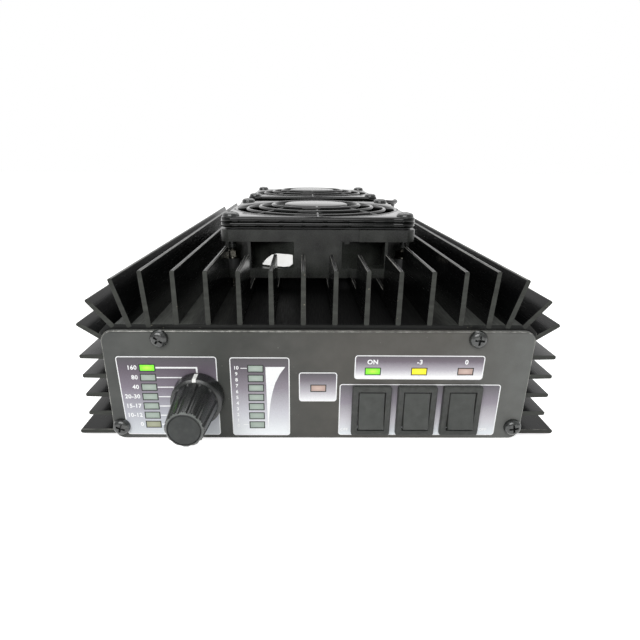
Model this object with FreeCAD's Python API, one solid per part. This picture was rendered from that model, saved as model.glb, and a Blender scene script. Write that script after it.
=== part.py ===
import FreeCAD, Part
import math
import os

# HF linear amplifier in millimetres: +X right and +Y to the rear as seen from the front, +Z up.
# The origin is the centre of the underside, half-way along the finned case.

# ---- Case: one aluminium extrusion that runs along Y ----
case_length = 250.0
cover_drop = 1.15  # the bottom cover stands this far out below the flanges
flange_thickness = 1.7
flange_nose = 0.5  # chamfer on each flange's outer edges
wall_half_width = 72.8  # outer face of the side walls
flange_reach = 12.2  # how far each foot flange stands out from its wall
wall_thickness = 2.8
deck_top = 42.3
deck_thickness = 7.0
deck_chamfer = 2.6
lug_width = 6.5  # inward lug that the bottom cover is screwed to
lug_height = 5.4
cover_thickness = 2.0
cover_gap = 0.1
cover_ledge = 1.3  # the wall's width beside the cover
cover_screws_per_side = 4

# Upright fins on the deck
fins_per_side = 5
splay_span = 20.55  # the width at each side of the deck that is left to the splayed fins
fin_pitch = (wall_half_width - splay_span) / fins_per_side
fin_height = 17.9
fin_top = deck_top + fin_height
fin_tip_thickness = 1.4
fin_root_thickness = 1.75
fin_tip_round = 0.5
fin_root_fillet = 1.2
fin_sink = 1.5  # how far each fin's section runs on into the metal that carries it
# Splayed fins at each corner: the tip's x from the wall and its height over the deck, and the root's x
splay_fins = [(-15.35, 17.9, -16.45), (-5.6, 15.3, -9.9), (2.9, 8.35, -4.1)]
corner_fin_tip = (7.1, 0.2)
corner_fin_drop = 4.4  # the corner fin's root below the deck's top
# Level fins down each side
side_fin_reach = 8.0
side_fin_pitch = 7.12
side_fin_count = 4
side_fin_lowest = 9.45

# ---- Panels ----
panel_inset = 0.6  # the panels' sides inside the walls' outer faces
panel_width = 2 * (wall_half_width - panel_inset)
panel_lift = 0.2  # the panels' lower edge above the underside
panel_drop = 1.6  # the panels' upper edge below the deck's top
panel_height = deck_top - panel_lift - panel_drop
panel_thickness = 1.7
panel_corner = 4.0
panel_bevel = 0.3
film_thickness = 0.3
film_margin = 0.55
rear_panel_thickness = 2.0
screw_head_radius = 3.0
screw_head_height = 2.2
screw_shank_radius = 1.45
screw_length = 10.0
screw_gap = 0.25  # radial clearance of a screw in a plain hole
thread_gap = 0.05  # radial gap drawn between a thread and its tapped hole
tap_extra = 1.5  # a tapped hole's depth past its screw
upper_screw_x = 0.36427 * panel_width
upper_screw_z = deck_top - 4.1
lower_screw_x = panel_width / 2 - 3.2
lower_screw_z = 5.3
recess_arm = 3.2
recess_reach = 0.65  # a small screw's recess reaches this share of its head's radius
recess_slot = 0.75
recess_depth = 1.3
recess_step = 37.0  # degrees that one screw's recess is turned past the last one's
head_rim = 0.3  # the upright rim of a pan head, as a share of its height
head_shoulder = (0.76, 0.8)  # a point on the dome, as shares of the head's radius and height
sink_rim = 0.2  # radial room round a countersunk head
sink_land = 0.4  # the straight part of a countersunk hole
sink_head_height = 1.5
sink_drop = 0.02  # a countersunk head's face above the cover's underside

# ---- Lamps ----
lamp_width = 4.8
lamp_height = 2.1
lamp_gap = 0.15
lamp_proud = 0.1
lamp_foot = 0.35  # the lamp's foot is this much wider all round than its face
lamp_foot_height = 1.4
band_lamp_x = -0.40028 * panel_width
band_lamp_top = 27.6
band_lamp_pitch = 3.6
band_lamp_count = 7
level_lamp_x = -0.14785 * panel_width
level_lamp_top = 27.35
level_lamp_pitch = 3.59
level_lamp_count = 7
protection_lamp_x = 0.0
protection_lamp_z = 20.1
status_lamp_x = 0.23615 * panel_width
status_lamp_pitch = 0.10907 * panel_width
status_lamp_count = 3
status_lamp_z = 26.45

# ---- Band selector ----
knob_x = -0.28463 * panel_width
knob_z = 17.11
knob_gap = 0.5  # between the knob and the panel's film
knob_length = 22.9
skirt_radius = 8.86
skirt_front_radius = 8.58
skirt_height = 4.85
skirt_bevel = 0.5
skirt_crown = 0.35  # the bevel's rise past the skirt's height
skirt_root = 0.5  # where the skirt's face meets the body, past the skirt's height
knob_body_radius = 7.55
knob_nose_radius = 6.15
knob_nose_round = 0.75
flute_count = 12
flute_radius = 0.85
flute_depth = 0.55
flute_start = 1.6  # from the skirt's face
cap_radius = 5.05
cap_depth = 1.2
cap_gap = 0.05
cap_bevel = 0.25
cap_proud = 0.05
pointer_width = 0.95
pointer_proud = 0.06
pointer_depth = 0.9
pointer_gap = 0.15  # between the pointer's inner end and the fluted body
shaft_radius = 3.0
shaft_flat = 0.9
shaft_fit = 0.05
shaft_in_knob = 14.0
shaft_end_gap = 1.0
knob_bore_gap = 0.02
knob_recess_radius = 7.4
knob_recess_depth = 3.7
grub_radius = 1.5
grub_length = 4.0
grub_key = 1.5
grub_key_depth = 1.4
grub_height = 9.0  # the grub screw's distance from the knob's back
bushing_radius = 4.5
bushing_proud = 3.1
bushing_nut_flats = 12.0
bushing_nut_height = 2.0
washer_height = 0.5
selector_body_radius = 12.5
selector_body_depth = 14.0
selector_lug_count = 12
selector_lug_width = 1.0
selector_lug_length = 3.5
selector_lug_inset = 2.5
selector_bore_extra = 0.3  # the bore's depth past the shaft's end
selector_root = 1.0  # how far the bushing and the lugs run into the body

# ---- Rocker switches ----
rocker_names = ("power", "attenuator", "delay")
rocker_x = 0.23546 * panel_width  # the middle switch
rocker_pitch = 0.10803 * panel_width
rocker_z = 12.0
bezel_width = 13.4
bezel_height = 18.8
bezel_thickness = 2.0
bezel_round = 0.7
bezel_bevel = 0.35
housing_inset = 0.6  # the housing behind the panel is this much smaller all round than its bezel
housing_gap = 0.15
housing_depth = 16.0
cavity_width = 9.4
cavity_height = 14.9
cavity_depth = 9.0
rocker_width = 8.8
rocker_half_height = 6.7
rocker_face = 3.4  # the face's ends stand this far out from the pivot
rocker_sag = 0.75
rocker_tilt = 8.0  # degrees each way from the middle
pivot_depth = 2.5  # the pivot behind the bezel's face
trunnion_radius = 1.2
trunnion_length = 1.1
trunnion_fit = 0.05
trunnion_end_gap = 0.15
rocker_round = 0.35
# The rocker's back, as (z, y) from the pivot: from its face's upper end to the middle
rocker_back = [(6.3, 0.4), (3.2, 2.4)]
terminal_width = 4.8
terminal_thickness = 0.8
terminal_length = 8.0
terminal_pitch = 5.0
terminal_root = 0.5  # how far a terminal runs into the housing

# ---- Fans ----
fan_size = 80.0
fan_thickness = 19.8
fan_x = 0.8
fan_front_setback = 49.9  # from the case's front end to the front fan
fan_rear_setback = 6.3
fan_bottom = deck_top + 4.3
fan_corner = 3.5
fan_hole_spacing = fan_size - 8.5
fan_hole_radius = 2.15
fan_bore_radius = fan_size / 2 - 1.4
barrel_radius = fan_bore_radius + 2.6
upper_flange = 4.8
lower_flange = 4.0
web_offset = fan_size / 2 - 11.7
web_thickness = 1.2
web_start = barrel_radius - 12.4  # the webs start inside the barrel
web_edge_gap = 0.4  # the webs stop short of the frame's sides
web_end_gap = 1.0  # and of its faces
wire_notch_x = 13.8
wire_notch_width = 6.0
wire_notch_depth = 0.9
strut_width = 3.2
strut_height = 2.2
strut_count = 4
strut_first = 45.0  # degrees
motor_base_radius = 15.5
bearing_tube_radius = 3.2
bearing_bore = 1.55
bearing_top_gap = 1.2  # the bearing tube's end below the hub's ceiling
fan_shaft_radius = 1.5
hub_radius = 15.0
hub_wall = 1.8
hub_floor_gap = 0.8  # the hub's rim above the motor base
hub_top_gap = 2.4  # the hub's top below the fan's top face
blade_count = 7
blade_tip_gap = 1.0
blade_root_height = 12.0
blade_tip_height = 9.0
fan_blade_thickness = 1.3
blade_root_angle = 50.0  # degrees from the plane of rotation
blade_tip_angle = 32.0
blade_first = 11.0  # degrees that the impeller is turned at rest
blade_root_sink = 0.8  # how far a blade's root runs into the hub
blade_rim_gap = 1.2  # the blades' lower edges above the hub's rim
hub_bevel = 0.8
fan_shaft_lift = 0.8  # the shaft's lower end above the frame's underside
stator_gap = 0.8
stator_foot_height = 0.6
stator_foot_inset = 2.0
stator_slot_depth = 2.5
stator_slot_width = 1.6
stator_slot_count = 4
stator_slot_first = 45.0  # degrees
pocket_gap = 1.4
intake_length = 19.0  # the middle fins are cut down this far ahead of the front fan's pocket
intake_fins = 3  # on each side of the middle

# Finger guard: a square base, and a cover with rings that rise towards the middle
guard_base_height = 2.6
guard_cover_height = 2.4
guard_step = 0.6  # the guard's sides stand in this much between its corner bosses
guard_boss_radius = 5.6
guard_opening = fan_bore_radius - 0.63
guard_ring_steps = [5.87, 11.72, 17.77]  # each ring's radius inside the opening's
guard_ring_rises = [0.3, 1.3, 2.0]  # each ring's top over the cover
guard_ring_tube = 0.75
guard_disc_radius = 15.1
guard_disc_rise = 2.2
guard_disc_height = 1.5
guard_spoke_count = 8
guard_spoke_width = 1.5
guard_spoke_height = 1.3
guard_head_radius = 3.3
guard_head_height = 2.1
guard_screw_radius = 1.75
guard_base_bevel = 0.4
guard_cover_bevel = 0.5
guard_disc_bevels = (0.3, 0.4, 0.5)  # lower edge across and up, and upper edge across
guard_spoke_drop = 0.3  # the spokes' tops below the rings' and the disc's
guard_spoke_foot = 0.8  # and below the cover's top, where they leave the frame
guard_spoke_end = 0.8  # how far a spoke runs into the frame, and into the disc
guard_screw_length = 12.8

# Studs that hold the fans: tapped into the deck, with a spacer, a washer and a nut on the lower flange
stud_radius = 1.5
stud_top = fan_bottom + 11.6
stud_depth = 5.0
spacer_height = 4.0
spacer_foot_radius = 3.4
spacer_top_radius = 2.9
fan_washer_radius = 3.4
nut_flats = 5.5
nut_height = 2.4

# Blank label on the front fan's barrel, by its angles from straight ahead
label_from = 14.0
label_to = 35.0
label_bottom = fan_bottom + 4.4
label_height = 5.5
label_thickness = 0.12

# ---- Boards and what they carry ----
board_thickness = 1.6
display_board_y = 5.2  # the display board's front face behind the panel's back
display_board_gap = 5.6  # from the walls
display_board_bottom = 4.6
display_board_top = deck_top - deck_thickness - 0.9
display_spacer_radius = 1.7
display_spacer_inset = 2.1
board_opening_gap = 0.8
main_board_drop = 7.0  # the main board's upper face below the deck's underside
main_board_gap = 8.0  # from the walls
main_board_setbacks = (27.0, 21.0)  # the main board's ends inside the case's front and rear ends
main_board_front = main_board_setbacks[0] - case_length / 2
main_board_rear = case_length / 2 - main_board_setbacks[1]
main_board_length = main_board_rear - main_board_front
standoff_radius = 3.0
standoff_inset = 5.0
transistor_length = 22.0
transistor_width = 18.0
transistor_height = 4.5
transistor_flange = 1.5  # the flange's thickness, and how far the lid stands in from its sides
transistor_pitch = 24.0
transistor_count = 4
transistor_y = main_board_front + 0.57 * main_board_length
clamp_width = 8.0
clamp_thickness = 3.0
clamp_screw_radius = 1.5
clamp_head_radius = 2.8
clamp_head_height = 2.0
window_margin = 2.0
core_length = 0.158 * main_board_length
core_width = 26.0
core_height = 15.0
core_bore_radius = 3.6
output_core_y = main_board_front + 0.405 * main_board_length
output_core_scale = 1.0
input_core_y = main_board_front + 0.7 * main_board_length
input_core_scale = 0.55
relay_length = 19.0
relay_width = 10.0
relay_height = 11.0
relay_pitch = 19.5
relays_per_row = 6
relay_row_y = main_board_front + 0.058 * main_board_length
toroid_radius = 5.6
toroid_tube = 2.4
toroid_pitch = 19.5
toroids_per_row = 6
toroid_row_y = main_board_front + 0.222 * main_board_length
toroid_row_gap = 17.0
capacitor_radius = 6.3
capacitor_length = 20.0
capacitor_x = 22.0
capacitor_y = main_board_front + 0.86 * main_board_length

# ---- Rear connections ----
socket_x = [-0.31163 * panel_width, -0.09003 * panel_width]
socket_z = 21.3
socket_flange = 25.4
socket_flange_thickness = 1.8
socket_flange_corner = 1.5
socket_thread_radius = 7.94
socket_thread_length = 16.0
socket_mouth_bevel = 0.6
socket_wall = 1.6
socket_tail_radius = 7.0
socket_tail_length = 5.0
socket_web = 3.0
socket_hole_spacing = 18.3
socket_panel_gap = 0.4
insulator_depth = 2.0  # the insulator's face below the barrel's mouth
contact_radius = 2.8
contact_bore = 2.0
contact_bore_length = 11.0
contact_tail_length = 6.0
flange_screw_radius = 1.25
flange_screw_length = 7.0
flange_head_radius = 2.5
flange_head_height = 1.7
jack_x = 0.09003 * panel_width
jack_z = 21.3
jack_radius = 4.15
jack_wall = 0.7
jack_length = 9.0
jack_flange_radius = 6.0
jack_flange_height = 1.2
jack_tail_radius = 3.0
jack_tail_length = 7.0
jack_insulator_drop = 1.0  # below the sleeve's mouth
jack_bore = 1.6
jack_bore_length = 8.0
gland_x = 0.33380 * panel_width
gland_z = 16.5
gland_thread_radius = 7.2
gland_bore = 4.2
gland_body_flats = 17.0
gland_body_height = 5.0
gland_dome_radius = 8.2
gland_dome_height = 10.0
gland_dome_straight = 5.5
gland_mouth_wall = 1.6
gland_tail_length = 9.0
gland_nut_flats = 17.0
gland_nut_height = 4.0

# ---- Leads ----
lead_radius = 1.6
grommet_lip = 1.5
grommet_wall = 1.4
rear_grommet_x = panel_width / 2 - 7.7
rear_grommet_z = 23.0
bend_parts = 2.22  # a bend takes up to one of this many parts of each run beside it
lead_bend = 8.87  # the run between two turns of 45 degrees where a lead turns back into the rear panel
coax_radius = 1.5
lead_channel = 3  # the gap between fins that the front fan's lead lies in, counted from the middle
lead_lift = 0.4  # under the front fan's lead
lead_over_fins = 0.6  # under the rear fan's lead
front_lead_drop = (21.0, 0.5)  # where it comes down: y from the fan's frame, and height over its lowest run
front_lead_sway = [(0.5, 0.32), (-0.4, 0.62)]  # x from the gap's middle, and share of the way to the rear end
front_lead_first = 10.0  # how far each lead leaves its fan's frame square to it
rear_lead_first = 11.0
front_lead_last = (0.3, -12.0)  # x from the gap's middle, y from the case's rear end
rear_lead_y = 18.0  # from the rear fan's rear side to where its lead leaves it
# The rear fan's lead: each point's x from its grommet, y from the case's rear end, z from over the fins
rear_lead_run = [(-3.5, -18.3, 0.4), (1.8, -8.3, 0.2), (2.4, 4.7, 0), (1.8, 14.7, -10)]
rear_lead_down = (0.5, 17.0)  # x from its grommet, and height over it, where it hangs down
# Each coaxial lead from its socket to the main board: x aside, y forward, z from the socket's axis
coax_run = [(0, 11, 0), (0.5, 22, -0.8)]
coax_end = (0.5, 33.0)  # x aside, y forward

# ---- Places worked out from the sizes above ----
front_y = -case_length / 2
rear_y = case_length / 2
flange_tip_half = wall_half_width + flange_reach
panel_front = front_y - panel_thickness
film_front = panel_front - film_thickness
rear_face = rear_y + rear_panel_thickness
deck_bottom = deck_top - deck_thickness
wall_inner = wall_half_width - wall_thickness
foot_inner = wall_half_width - cover_ledge
lug_inner = foot_inner - lug_width
fan_top = fan_bottom + fan_thickness
guard_top = fan_top + guard_base_height + guard_cover_height
fan_centres = [front_y + fan_front_setback + fan_size / 2, rear_y - fan_rear_setback - fan_size / 2]
guard_rings = [(guard_opening - step, guard_top + rise)
               for step, rise in zip(guard_ring_steps, guard_ring_rises)]
guard_disc_top = guard_top + guard_disc_rise
fan_names = ["front", "rear"]
rocker_centres = [rocker_x + rocker_pitch * step for step in (-1, 0, 1)]
bezel_face = film_front - bezel_thickness
pivot_y = bezel_face + pivot_depth
main_board_top = deck_bottom - main_board_drop
main_board_bottom = main_board_top - board_thickness
display_front = front_y + display_board_y
display_board_half_width = wall_inner - display_board_gap
main_board_half_width = wall_inner - main_board_gap
tapped_radius = screw_shank_radius + thread_gap
screw_hole_radius = screw_shank_radius + screw_gap
guard_hole_radius = guard_screw_radius + screw_gap
grommet_radius = lead_radius + grommet_wall
panel_screw_places = [(side * x, z) for side in (-1, 1)
                      for x, z in ((upper_screw_x, upper_screw_z), (lower_screw_x, lower_screw_z))]
band_lamp_places = [(band_lamp_x, band_lamp_top - i * band_lamp_pitch) for i in range(band_lamp_count)]
level_lamp_places = [(level_lamp_x, level_lamp_top - i * level_lamp_pitch) for i in range(level_lamp_count)]
status_lamp_places = [(status_lamp_x + (i - (status_lamp_count - 1) / 2) * status_lamp_pitch, status_lamp_z)
                      for i in range(status_lamp_count)] + [(protection_lamp_x, protection_lamp_z)]
all_lamp_places = band_lamp_places + level_lamp_places + status_lamp_places
through = 1.0  # how far a cutting tool runs past the face that it opens
tolerance = 0.01  # two places or directions closer than this are the same


def vec(x, y, z):
    return FreeCAD.Vector(x, y, z)


X_AXIS = vec(1, 0, 0)
Y_AXIS = vec(0, 1, 0)
Z_AXIS = vec(0, 0, 1)
FORWARD = vec(0, -1, 0)


def block(x0, x1, y0, y1, z0, z1):
    return Part.makeBox(x1 - x0, y1 - y0, z1 - z0, vec(x0, y0, z0))


def rod(radius, start, direction, length):
    return Part.makeCylinder(radius, length, start, direction)


def joined(shapes):
    whole = shapes[0]
    if len(shapes) > 1:
        whole = shapes[0].multiFuse(shapes[1:])
    whole = whole.removeSplitter()
    return whole.Solids[0] if len(whole.Solids) == 1 else whole


def cut_from(shape, tools):
    rest = shape.cut(Part.makeCompound(tools))
    return rest.Solids[0] if len(rest.Solids) == 1 else rest


def group(shapes):
    return shapes[0] if len(shapes) == 1 else Part.makeCompound(shapes)


def section_along_y(points, y0, y1):
    """A closed outline of (x, z) points, extruded along Y."""
    wire = Part.makePolygon([vec(x, y0, z) for x, z in points + points[:1]])
    return Part.Face(wire).extrude(vec(0, y1 - y0, 0))


def edges_along(shape, axis):
    return [edge for edge in shape.Edges
            if edge.tangentAt(edge.FirstParameter).cross(axis).Length < tolerance]


def rounded_plate(x, z, width, height, corner, y0, y1):
    """A plate that faces along Y, centred on (x, z), with rounded corners."""
    plate = block(x - width / 2, x + width / 2, y0, y1, z - height / 2, z + height / 2)
    return plate.makeFillet(corner, edges_along(plate, Y_AXIS))


def hex_prism(flats, start, direction, length):
    """A hexagonal prism of that width across its flats."""
    radius = flats / math.sqrt(3)
    turns = [k * math.pi / 3 for k in range(6)]
    corners = [vec(radius * math.cos(turn), radius * math.sin(turn), 0) for turn in turns]
    prism = Part.Face(Part.makePolygon(corners + corners[:1])).extrude(vec(0, 0, length))
    prism.Placement = FreeCAD.Placement(start, FreeCAD.Rotation(Z_AXIS, direction))
    return prism


def turned(profile, start, direction):
    """A solid of revolution about direction: (radius, height) points from the axis round to the axis."""
    wire = Part.makePolygon([vec(r, 0, h) for r, h in profile + profile[:1]])
    solid = Part.Face(wire).revolve(vec(0, 0, 0), Z_AXIS, 360)
    solid.Placement = FreeCAD.Placement(start, FreeCAD.Rotation(Z_AXIS, direction))
    return solid


def mirrored_x(shape):
    return shape.mirror(vec(0, 0, 0), X_AXIS)


def pan_screw(head_radius, head_height, shank_radius, length, start, direction, spin=0.0):
    """A cross-recess screw: start is under the head, and direction points out of the head."""
    rim = head_rim * head_height
    shoulder = vec(head_shoulder[0] * head_radius, 0, head_shoulder[1] * head_height)
    dome = Part.Arc(vec(head_radius, 0, rim), shoulder, vec(0, 0, head_height)).toShape()
    outline = [vec(0, 0, head_height), vec(0, 0, -length), vec(shank_radius, 0, -length),
               vec(shank_radius, 0, 0), vec(head_radius, 0, 0), vec(head_radius, 0, rim)]
    screw = Part.Face(Part.Wire([Part.makePolygon(outline), dome])).revolve(vec(0, 0, 0), Z_AXIS, 360)
    reach = min(recess_arm / 2, recess_reach * head_radius)
    floor = head_height - recess_depth
    arm = block(-reach, reach, -recess_slot / 2, recess_slot / 2, floor, head_height + through)
    cross = arm.fuse(arm.rotated(vec(0, 0, 0), Z_AXIS, 90)).rotated(vec(0, 0, 0), Z_AXIS, spin)
    screw = screw.cut(cross)
    screw.Placement = FreeCAD.Placement(start, FreeCAD.Rotation(Z_AXIS, direction))
    return screw.Solids[0]


def lead(points, radius, name):
    """A tube along straight runs joined by tangent arcs, each as large as its two runs allow."""
    points = [vec(*p) for p in points]
    edges = []
    start = points[0]
    for before, corner, after in zip(points, points[1:], points[2:]):
        back = (before - corner).normalize()
        on = (after - corner).normalize()
        half_turn = (math.pi - back.getAngle(on)) / 2
        run = min((before - corner).Length, (after - corner).Length)
        trim = run / bend_parts
        bend = trim / math.tan(half_turn)
        print(f"{name}: bend radius {bend:.1f}, turn {math.degrees(2 * half_turn):.0f} degrees")
        enter = corner + back * trim
        leave = corner + on * trim
        bisector = (back + on).normalize()
        middle = corner + bisector * (bend / math.cos(half_turn) - bend)
        edges.append(Part.LineSegment(start, enter).toShape())
        edges.append(Part.Arc(enter, middle, leave).toShape())
        start = leave
    edges.append(Part.LineSegment(start, points[-1]).toShape())
    path = Part.Wire(edges)
    ring = Part.Wire(Part.Circle(points[0], points[1] - points[0], radius).toShape())
    tube = path.makePipeShell([ring], True, False)
    expected = math.pi * radius ** 2 * path.Length
    print(f"{name}: length {path.Length:.1f}, volume / expected {tube.Volume / expected:.5f}")
    return tube


# ---- Case ----
def fin(tip_x, tip_z, root_x, root_z):
    """One fin's section from its root to its rounded tip, with fillets at the root, run along the case."""
    root = vec(root_x, front_y, root_z)
    tip = vec(tip_x, front_y, tip_z)
    length = (tip - root).Length
    along = (tip - root).normalize()
    across = Y_AXIS.cross(along)
    half_tip = fin_tip_thickness / 2
    half_root = fin_root_thickness / 2
    flare = half_root + fin_root_fillet
    hollow = fin_root_fillet * (1 - math.sqrt(0.5))
    crown = fin_tip_round * (1 - math.sqrt(0.5))

    def at(up, out):
        return root + along * up + across * out

    def side(sign):
        foot = at(0, sign * flare)
        neck = at(fin_root_fillet, sign * half_root)
        shoulder = at(length - fin_tip_round, sign * half_tip)
        edge = at(length, sign * (half_tip - fin_tip_round))
        return [Part.LineSegment(at(-fin_sink, sign * flare), foot),
                Part.Arc(foot, at(hollow, sign * (half_root + hollow)), neck),
                Part.LineSegment(neck, shoulder),
                Part.Arc(shoulder, at(length - crown, sign * (half_tip - crown)), edge)]

    ends = [Part.LineSegment(at(length, -(half_tip - fin_tip_round)), at(length, half_tip - fin_tip_round)),
            Part.LineSegment(at(-fin_sink, -flare), at(-fin_sink, flare))]
    edges = [piece.toShape() for piece in side(-1) + side(1) + ends]
    wire = Part.Wire(Part.__sortEdges__(edges))
    return Part.Face(wire).extrude(vec(0, case_length, 0))


def case_shell():
    """The deck, side walls, foot flanges and cover lugs as one section."""
    ledge = cover_thickness + cover_gap
    lug_top = ledge + lug_height
    flange_top = cover_drop + flange_thickness
    right = [(foot_inner, cover_drop), (flange_tip_half - flange_nose, cover_drop),
             (flange_tip_half, cover_drop + flange_nose), (flange_tip_half, flange_top - flange_nose),
             (flange_tip_half - flange_nose, flange_top), (wall_half_width, flange_top),
             (wall_half_width, deck_top - deck_chamfer), (wall_half_width - deck_chamfer, deck_top)]
    inner = [(-foot_inner, ledge), (-lug_inner, ledge), (-lug_inner, lug_top), (-wall_inner, lug_top),
             (-wall_inner, deck_bottom)]
    outline = right + [(-x, z) for x, z in reversed(right)] + inner + [(-x, z) for x, z in reversed(inner)]
    return section_along_y(outline, front_y, rear_y)


def stud_places():
    half = fan_hole_spacing / 2
    return [(fan_x + sx * half, y + sy * half) for y in fan_centres for sx in (-1, 1) for sy in (-1, 1)]


def cover_screw_places():
    x = (foot_inner + lug_inner) / 2
    first = rear_y - 2 * (screw_length + tap_extra)
    return [(side * x, first * (2 * i / (cover_screws_per_side - 1) - 1)) for side in (-1, 1)
            for i in range(cover_screws_per_side)]


def heatsink():
    upright = [(i + 0.5) * fin_pitch for i in range(fins_per_side)]
    right_fins = [fin(x, fin_top, x, deck_top) for x in upright]
    right_fins += [fin(wall_half_width + tip_out, deck_top + tip_up, wall_half_width + root_out, deck_top)
                   for tip_out, tip_up, root_out in splay_fins]
    right_fins.append(fin(wall_half_width + corner_fin_tip[0], deck_top + corner_fin_tip[1],
                          wall_half_width, deck_top - corner_fin_drop))
    for i in range(side_fin_count):
        z = side_fin_lowest + i * side_fin_pitch
        right_fins.append(fin(wall_half_width + side_fin_reach, z, wall_half_width, z))
    body = joined([case_shell()] + right_fins + [mirrored_x(piece) for piece in right_fins])
    reach = fan_size / 2 + pocket_gap
    tools = [block(fan_x - reach, fan_x + reach, y - reach, y + reach, fan_bottom, fin_top + through)
             for y in fan_centres]
    intake_rear = fan_centres[0] - reach
    intake_half = intake_fins * fin_pitch
    tools.append(block(-intake_half, intake_half, intake_rear - intake_length, intake_rear + through,
                       fan_bottom, fin_top + through))
    tools += [rod(stud_radius + thread_gap, vec(x, y, deck_top - stud_depth), Z_AXIS, fin_top)
              for x, y in stud_places()]
    depth = screw_length + tap_extra + through
    for x, z in panel_screw_places:
        tools.append(rod(tapped_radius, vec(x, front_y - through, z), Y_AXIS, depth))
        tools.append(rod(tapped_radius, vec(x, rear_y + through, z), FORWARD, depth))
    for x, y in cover_screw_places():
        tools.append(rod(tapped_radius, vec(x, y, 0), Z_AXIS, cover_thickness + lug_height))
    for x in clamp_screw_places():
        tools.append(rod(clamp_screw_radius + thread_gap, vec(x, transistor_y, deck_bottom - through), Z_AXIS,
                         stud_depth + through))
    return cut_from(body, tools)


def bottom_cover():
    half = foot_inner - cover_gap
    plate = block(-half, half, front_y + cover_gap, rear_y - cover_gap, 0, cover_thickness)
    sink = turned([(0, -through), (screw_head_radius + through, -through), (screw_head_radius + sink_rim, 0),
                   (screw_hole_radius, cover_thickness - sink_land),
                   (screw_hole_radius, cover_thickness + through), (0, cover_thickness + through)],
                  vec(0, 0, 0), Z_AXIS)
    return cut_from(plate, [sink.translated(vec(x, y, 0)) for x, y in cover_screw_places()])


def bottom_cover_screws():
    """Countersunk screws, flush with the cover's underside."""
    tip = cover_thickness + lug_height - tap_extra
    screw = turned([(0, 0), (screw_head_radius, 0), (screw_shank_radius, sink_head_height),
                    (screw_shank_radius, tip), (0, tip)], vec(0, 0, 0), Z_AXIS)
    arm = block(-recess_arm / 2, recess_arm / 2, -recess_slot / 2, recess_slot / 2, -through, recess_depth)
    screw = screw.cut(arm.fuse(arm.rotated(vec(0, 0, 0), Z_AXIS, 90))).Solids[0]
    return group([screw.translated(vec(x, y, sink_drop)) for x, y in cover_screw_places()])


# ---- Panels ----
def lamp_openings(y0, y1):
    w = lamp_width / 2 + lamp_gap
    h = lamp_height / 2 + lamp_gap
    return [block(x - w, x + w, y0, y1, z - h, z + h) for x, z in all_lamp_places]


def switch_openings(gap, y0, y1):
    w = bezel_width / 2 - housing_inset + gap
    h = bezel_height / 2 - housing_inset + gap
    return [block(x - w, x + w, y0, y1, rocker_z - h, rocker_z + h) for x in rocker_centres]


def panel_screw_holes(y0, y1):
    return [rod(screw_hole_radius, vec(x, y0, z), Y_AXIS, y1 - y0) for x, z in panel_screw_places]


def panel_plate(y0, y1):
    """A panel's rounded plate with its four screw holes."""
    plate = rounded_plate(0, panel_lift + panel_height / 2, panel_width, panel_height, panel_corner, y0, y1)
    return cut_from(plate, panel_screw_holes(y0 - through, y1 + through))


def front_openings(y0, y1):
    tools = lamp_openings(y0, y1) + switch_openings(housing_gap, y0, y1)
    tools.append(rod(bushing_radius + screw_gap, vec(knob_x, y0, knob_z), Y_AXIS, y1 - y0))
    return tools


def front_panel():
    plate = panel_plate(panel_front, front_y)
    rim = [edge for edge in plate.Edges
           if edge.BoundBox.YMax < panel_front + tolerance and not on_screw_hole(edge)]
    plate = plate.makeChamfer(panel_bevel, rim)
    return cut_from(plate, front_openings(panel_front - through, front_y + through))


def on_screw_hole(edge):
    box = edge.BoundBox
    return box.XLength < 3 * screw_shank_radius and box.ZLength < 3 * screw_shank_radius


def front_film():
    film = rounded_plate(0, panel_lift + panel_height / 2, panel_width - 2 * film_margin,
                         panel_height - 2 * film_margin, panel_corner - film_margin, film_front, panel_front)
    y0 = film_front - through
    y1 = panel_front + through
    return cut_from(film, panel_screw_holes(y0, y1) + front_openings(y0, y1))


def rear_panel():
    plate = panel_plate(rear_y, rear_face)
    y0 = rear_y - through
    depth = rear_panel_thickness + 2 * through
    tools = []
    for x in socket_x:
        tools.append(rod(socket_tail_radius + socket_panel_gap, vec(x, y0, socket_z), Y_AXIS, depth))
        tools += [rod(flange_screw_radius + thread_gap, vec(sx, y0, sz), Y_AXIS, depth)
                  for sx, sz in socket_screw_places(x)]
    tools.append(rod(jack_tail_radius + socket_panel_gap, vec(jack_x, y0, jack_z), Y_AXIS, depth))
    tools.append(rod(gland_thread_radius + socket_panel_gap, vec(gland_x, y0, gland_z), Y_AXIS, depth))
    tools += [rod(grommet_radius, vec(x, y0, rear_grommet_z), Y_AXIS, depth) for x in grommet_places()]
    return cut_from(plate, tools)


def panel_screws():
    screws = []
    for i, (x, z) in enumerate(panel_screw_places):
        for seat, out in ((film_front, FORWARD), (rear_face, Y_AXIS)):
            screws.append(pan_screw(screw_head_radius, screw_head_height, screw_shank_radius, screw_length,
                                    vec(x, seat, z), out, recess_step * i))
    return group(screws)


def lamps(places):
    """Rectangular lamps: each face stands in its window, and its foot sits on the display board."""
    pieces = []
    for x, z in places:
        w = lamp_width / 2
        h = lamp_height / 2
        lens = block(x - w, x + w, film_front - lamp_proud, display_front, z - h, z + h)
        foot = block(x - w - lamp_foot, x + w + lamp_foot, display_front - lamp_foot_height, display_front,
                     z - h - lamp_foot, z + h + lamp_foot)
        pieces.append(joined([lens, foot]))
    return group(pieces)


# ---- Band selector ----
def in_knob(shape):
    """Puts a shape that is drawn along +Z from the knob's back into its place on the panel."""
    shape.Placement = FreeCAD.Placement(vec(knob_x, film_front - knob_gap, knob_z),
                                        FreeCAD.Rotation(X_AXIS, 90)).multiply(shape.Placement)
    return shape


def pointer_region(inner, outer, top):
    """The strip of the skirt that the pointer fills, before the knob is turned to face forward."""
    return block(-pointer_width / 2, pointer_width / 2, inner, outer, pointer_depth, top)


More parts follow.
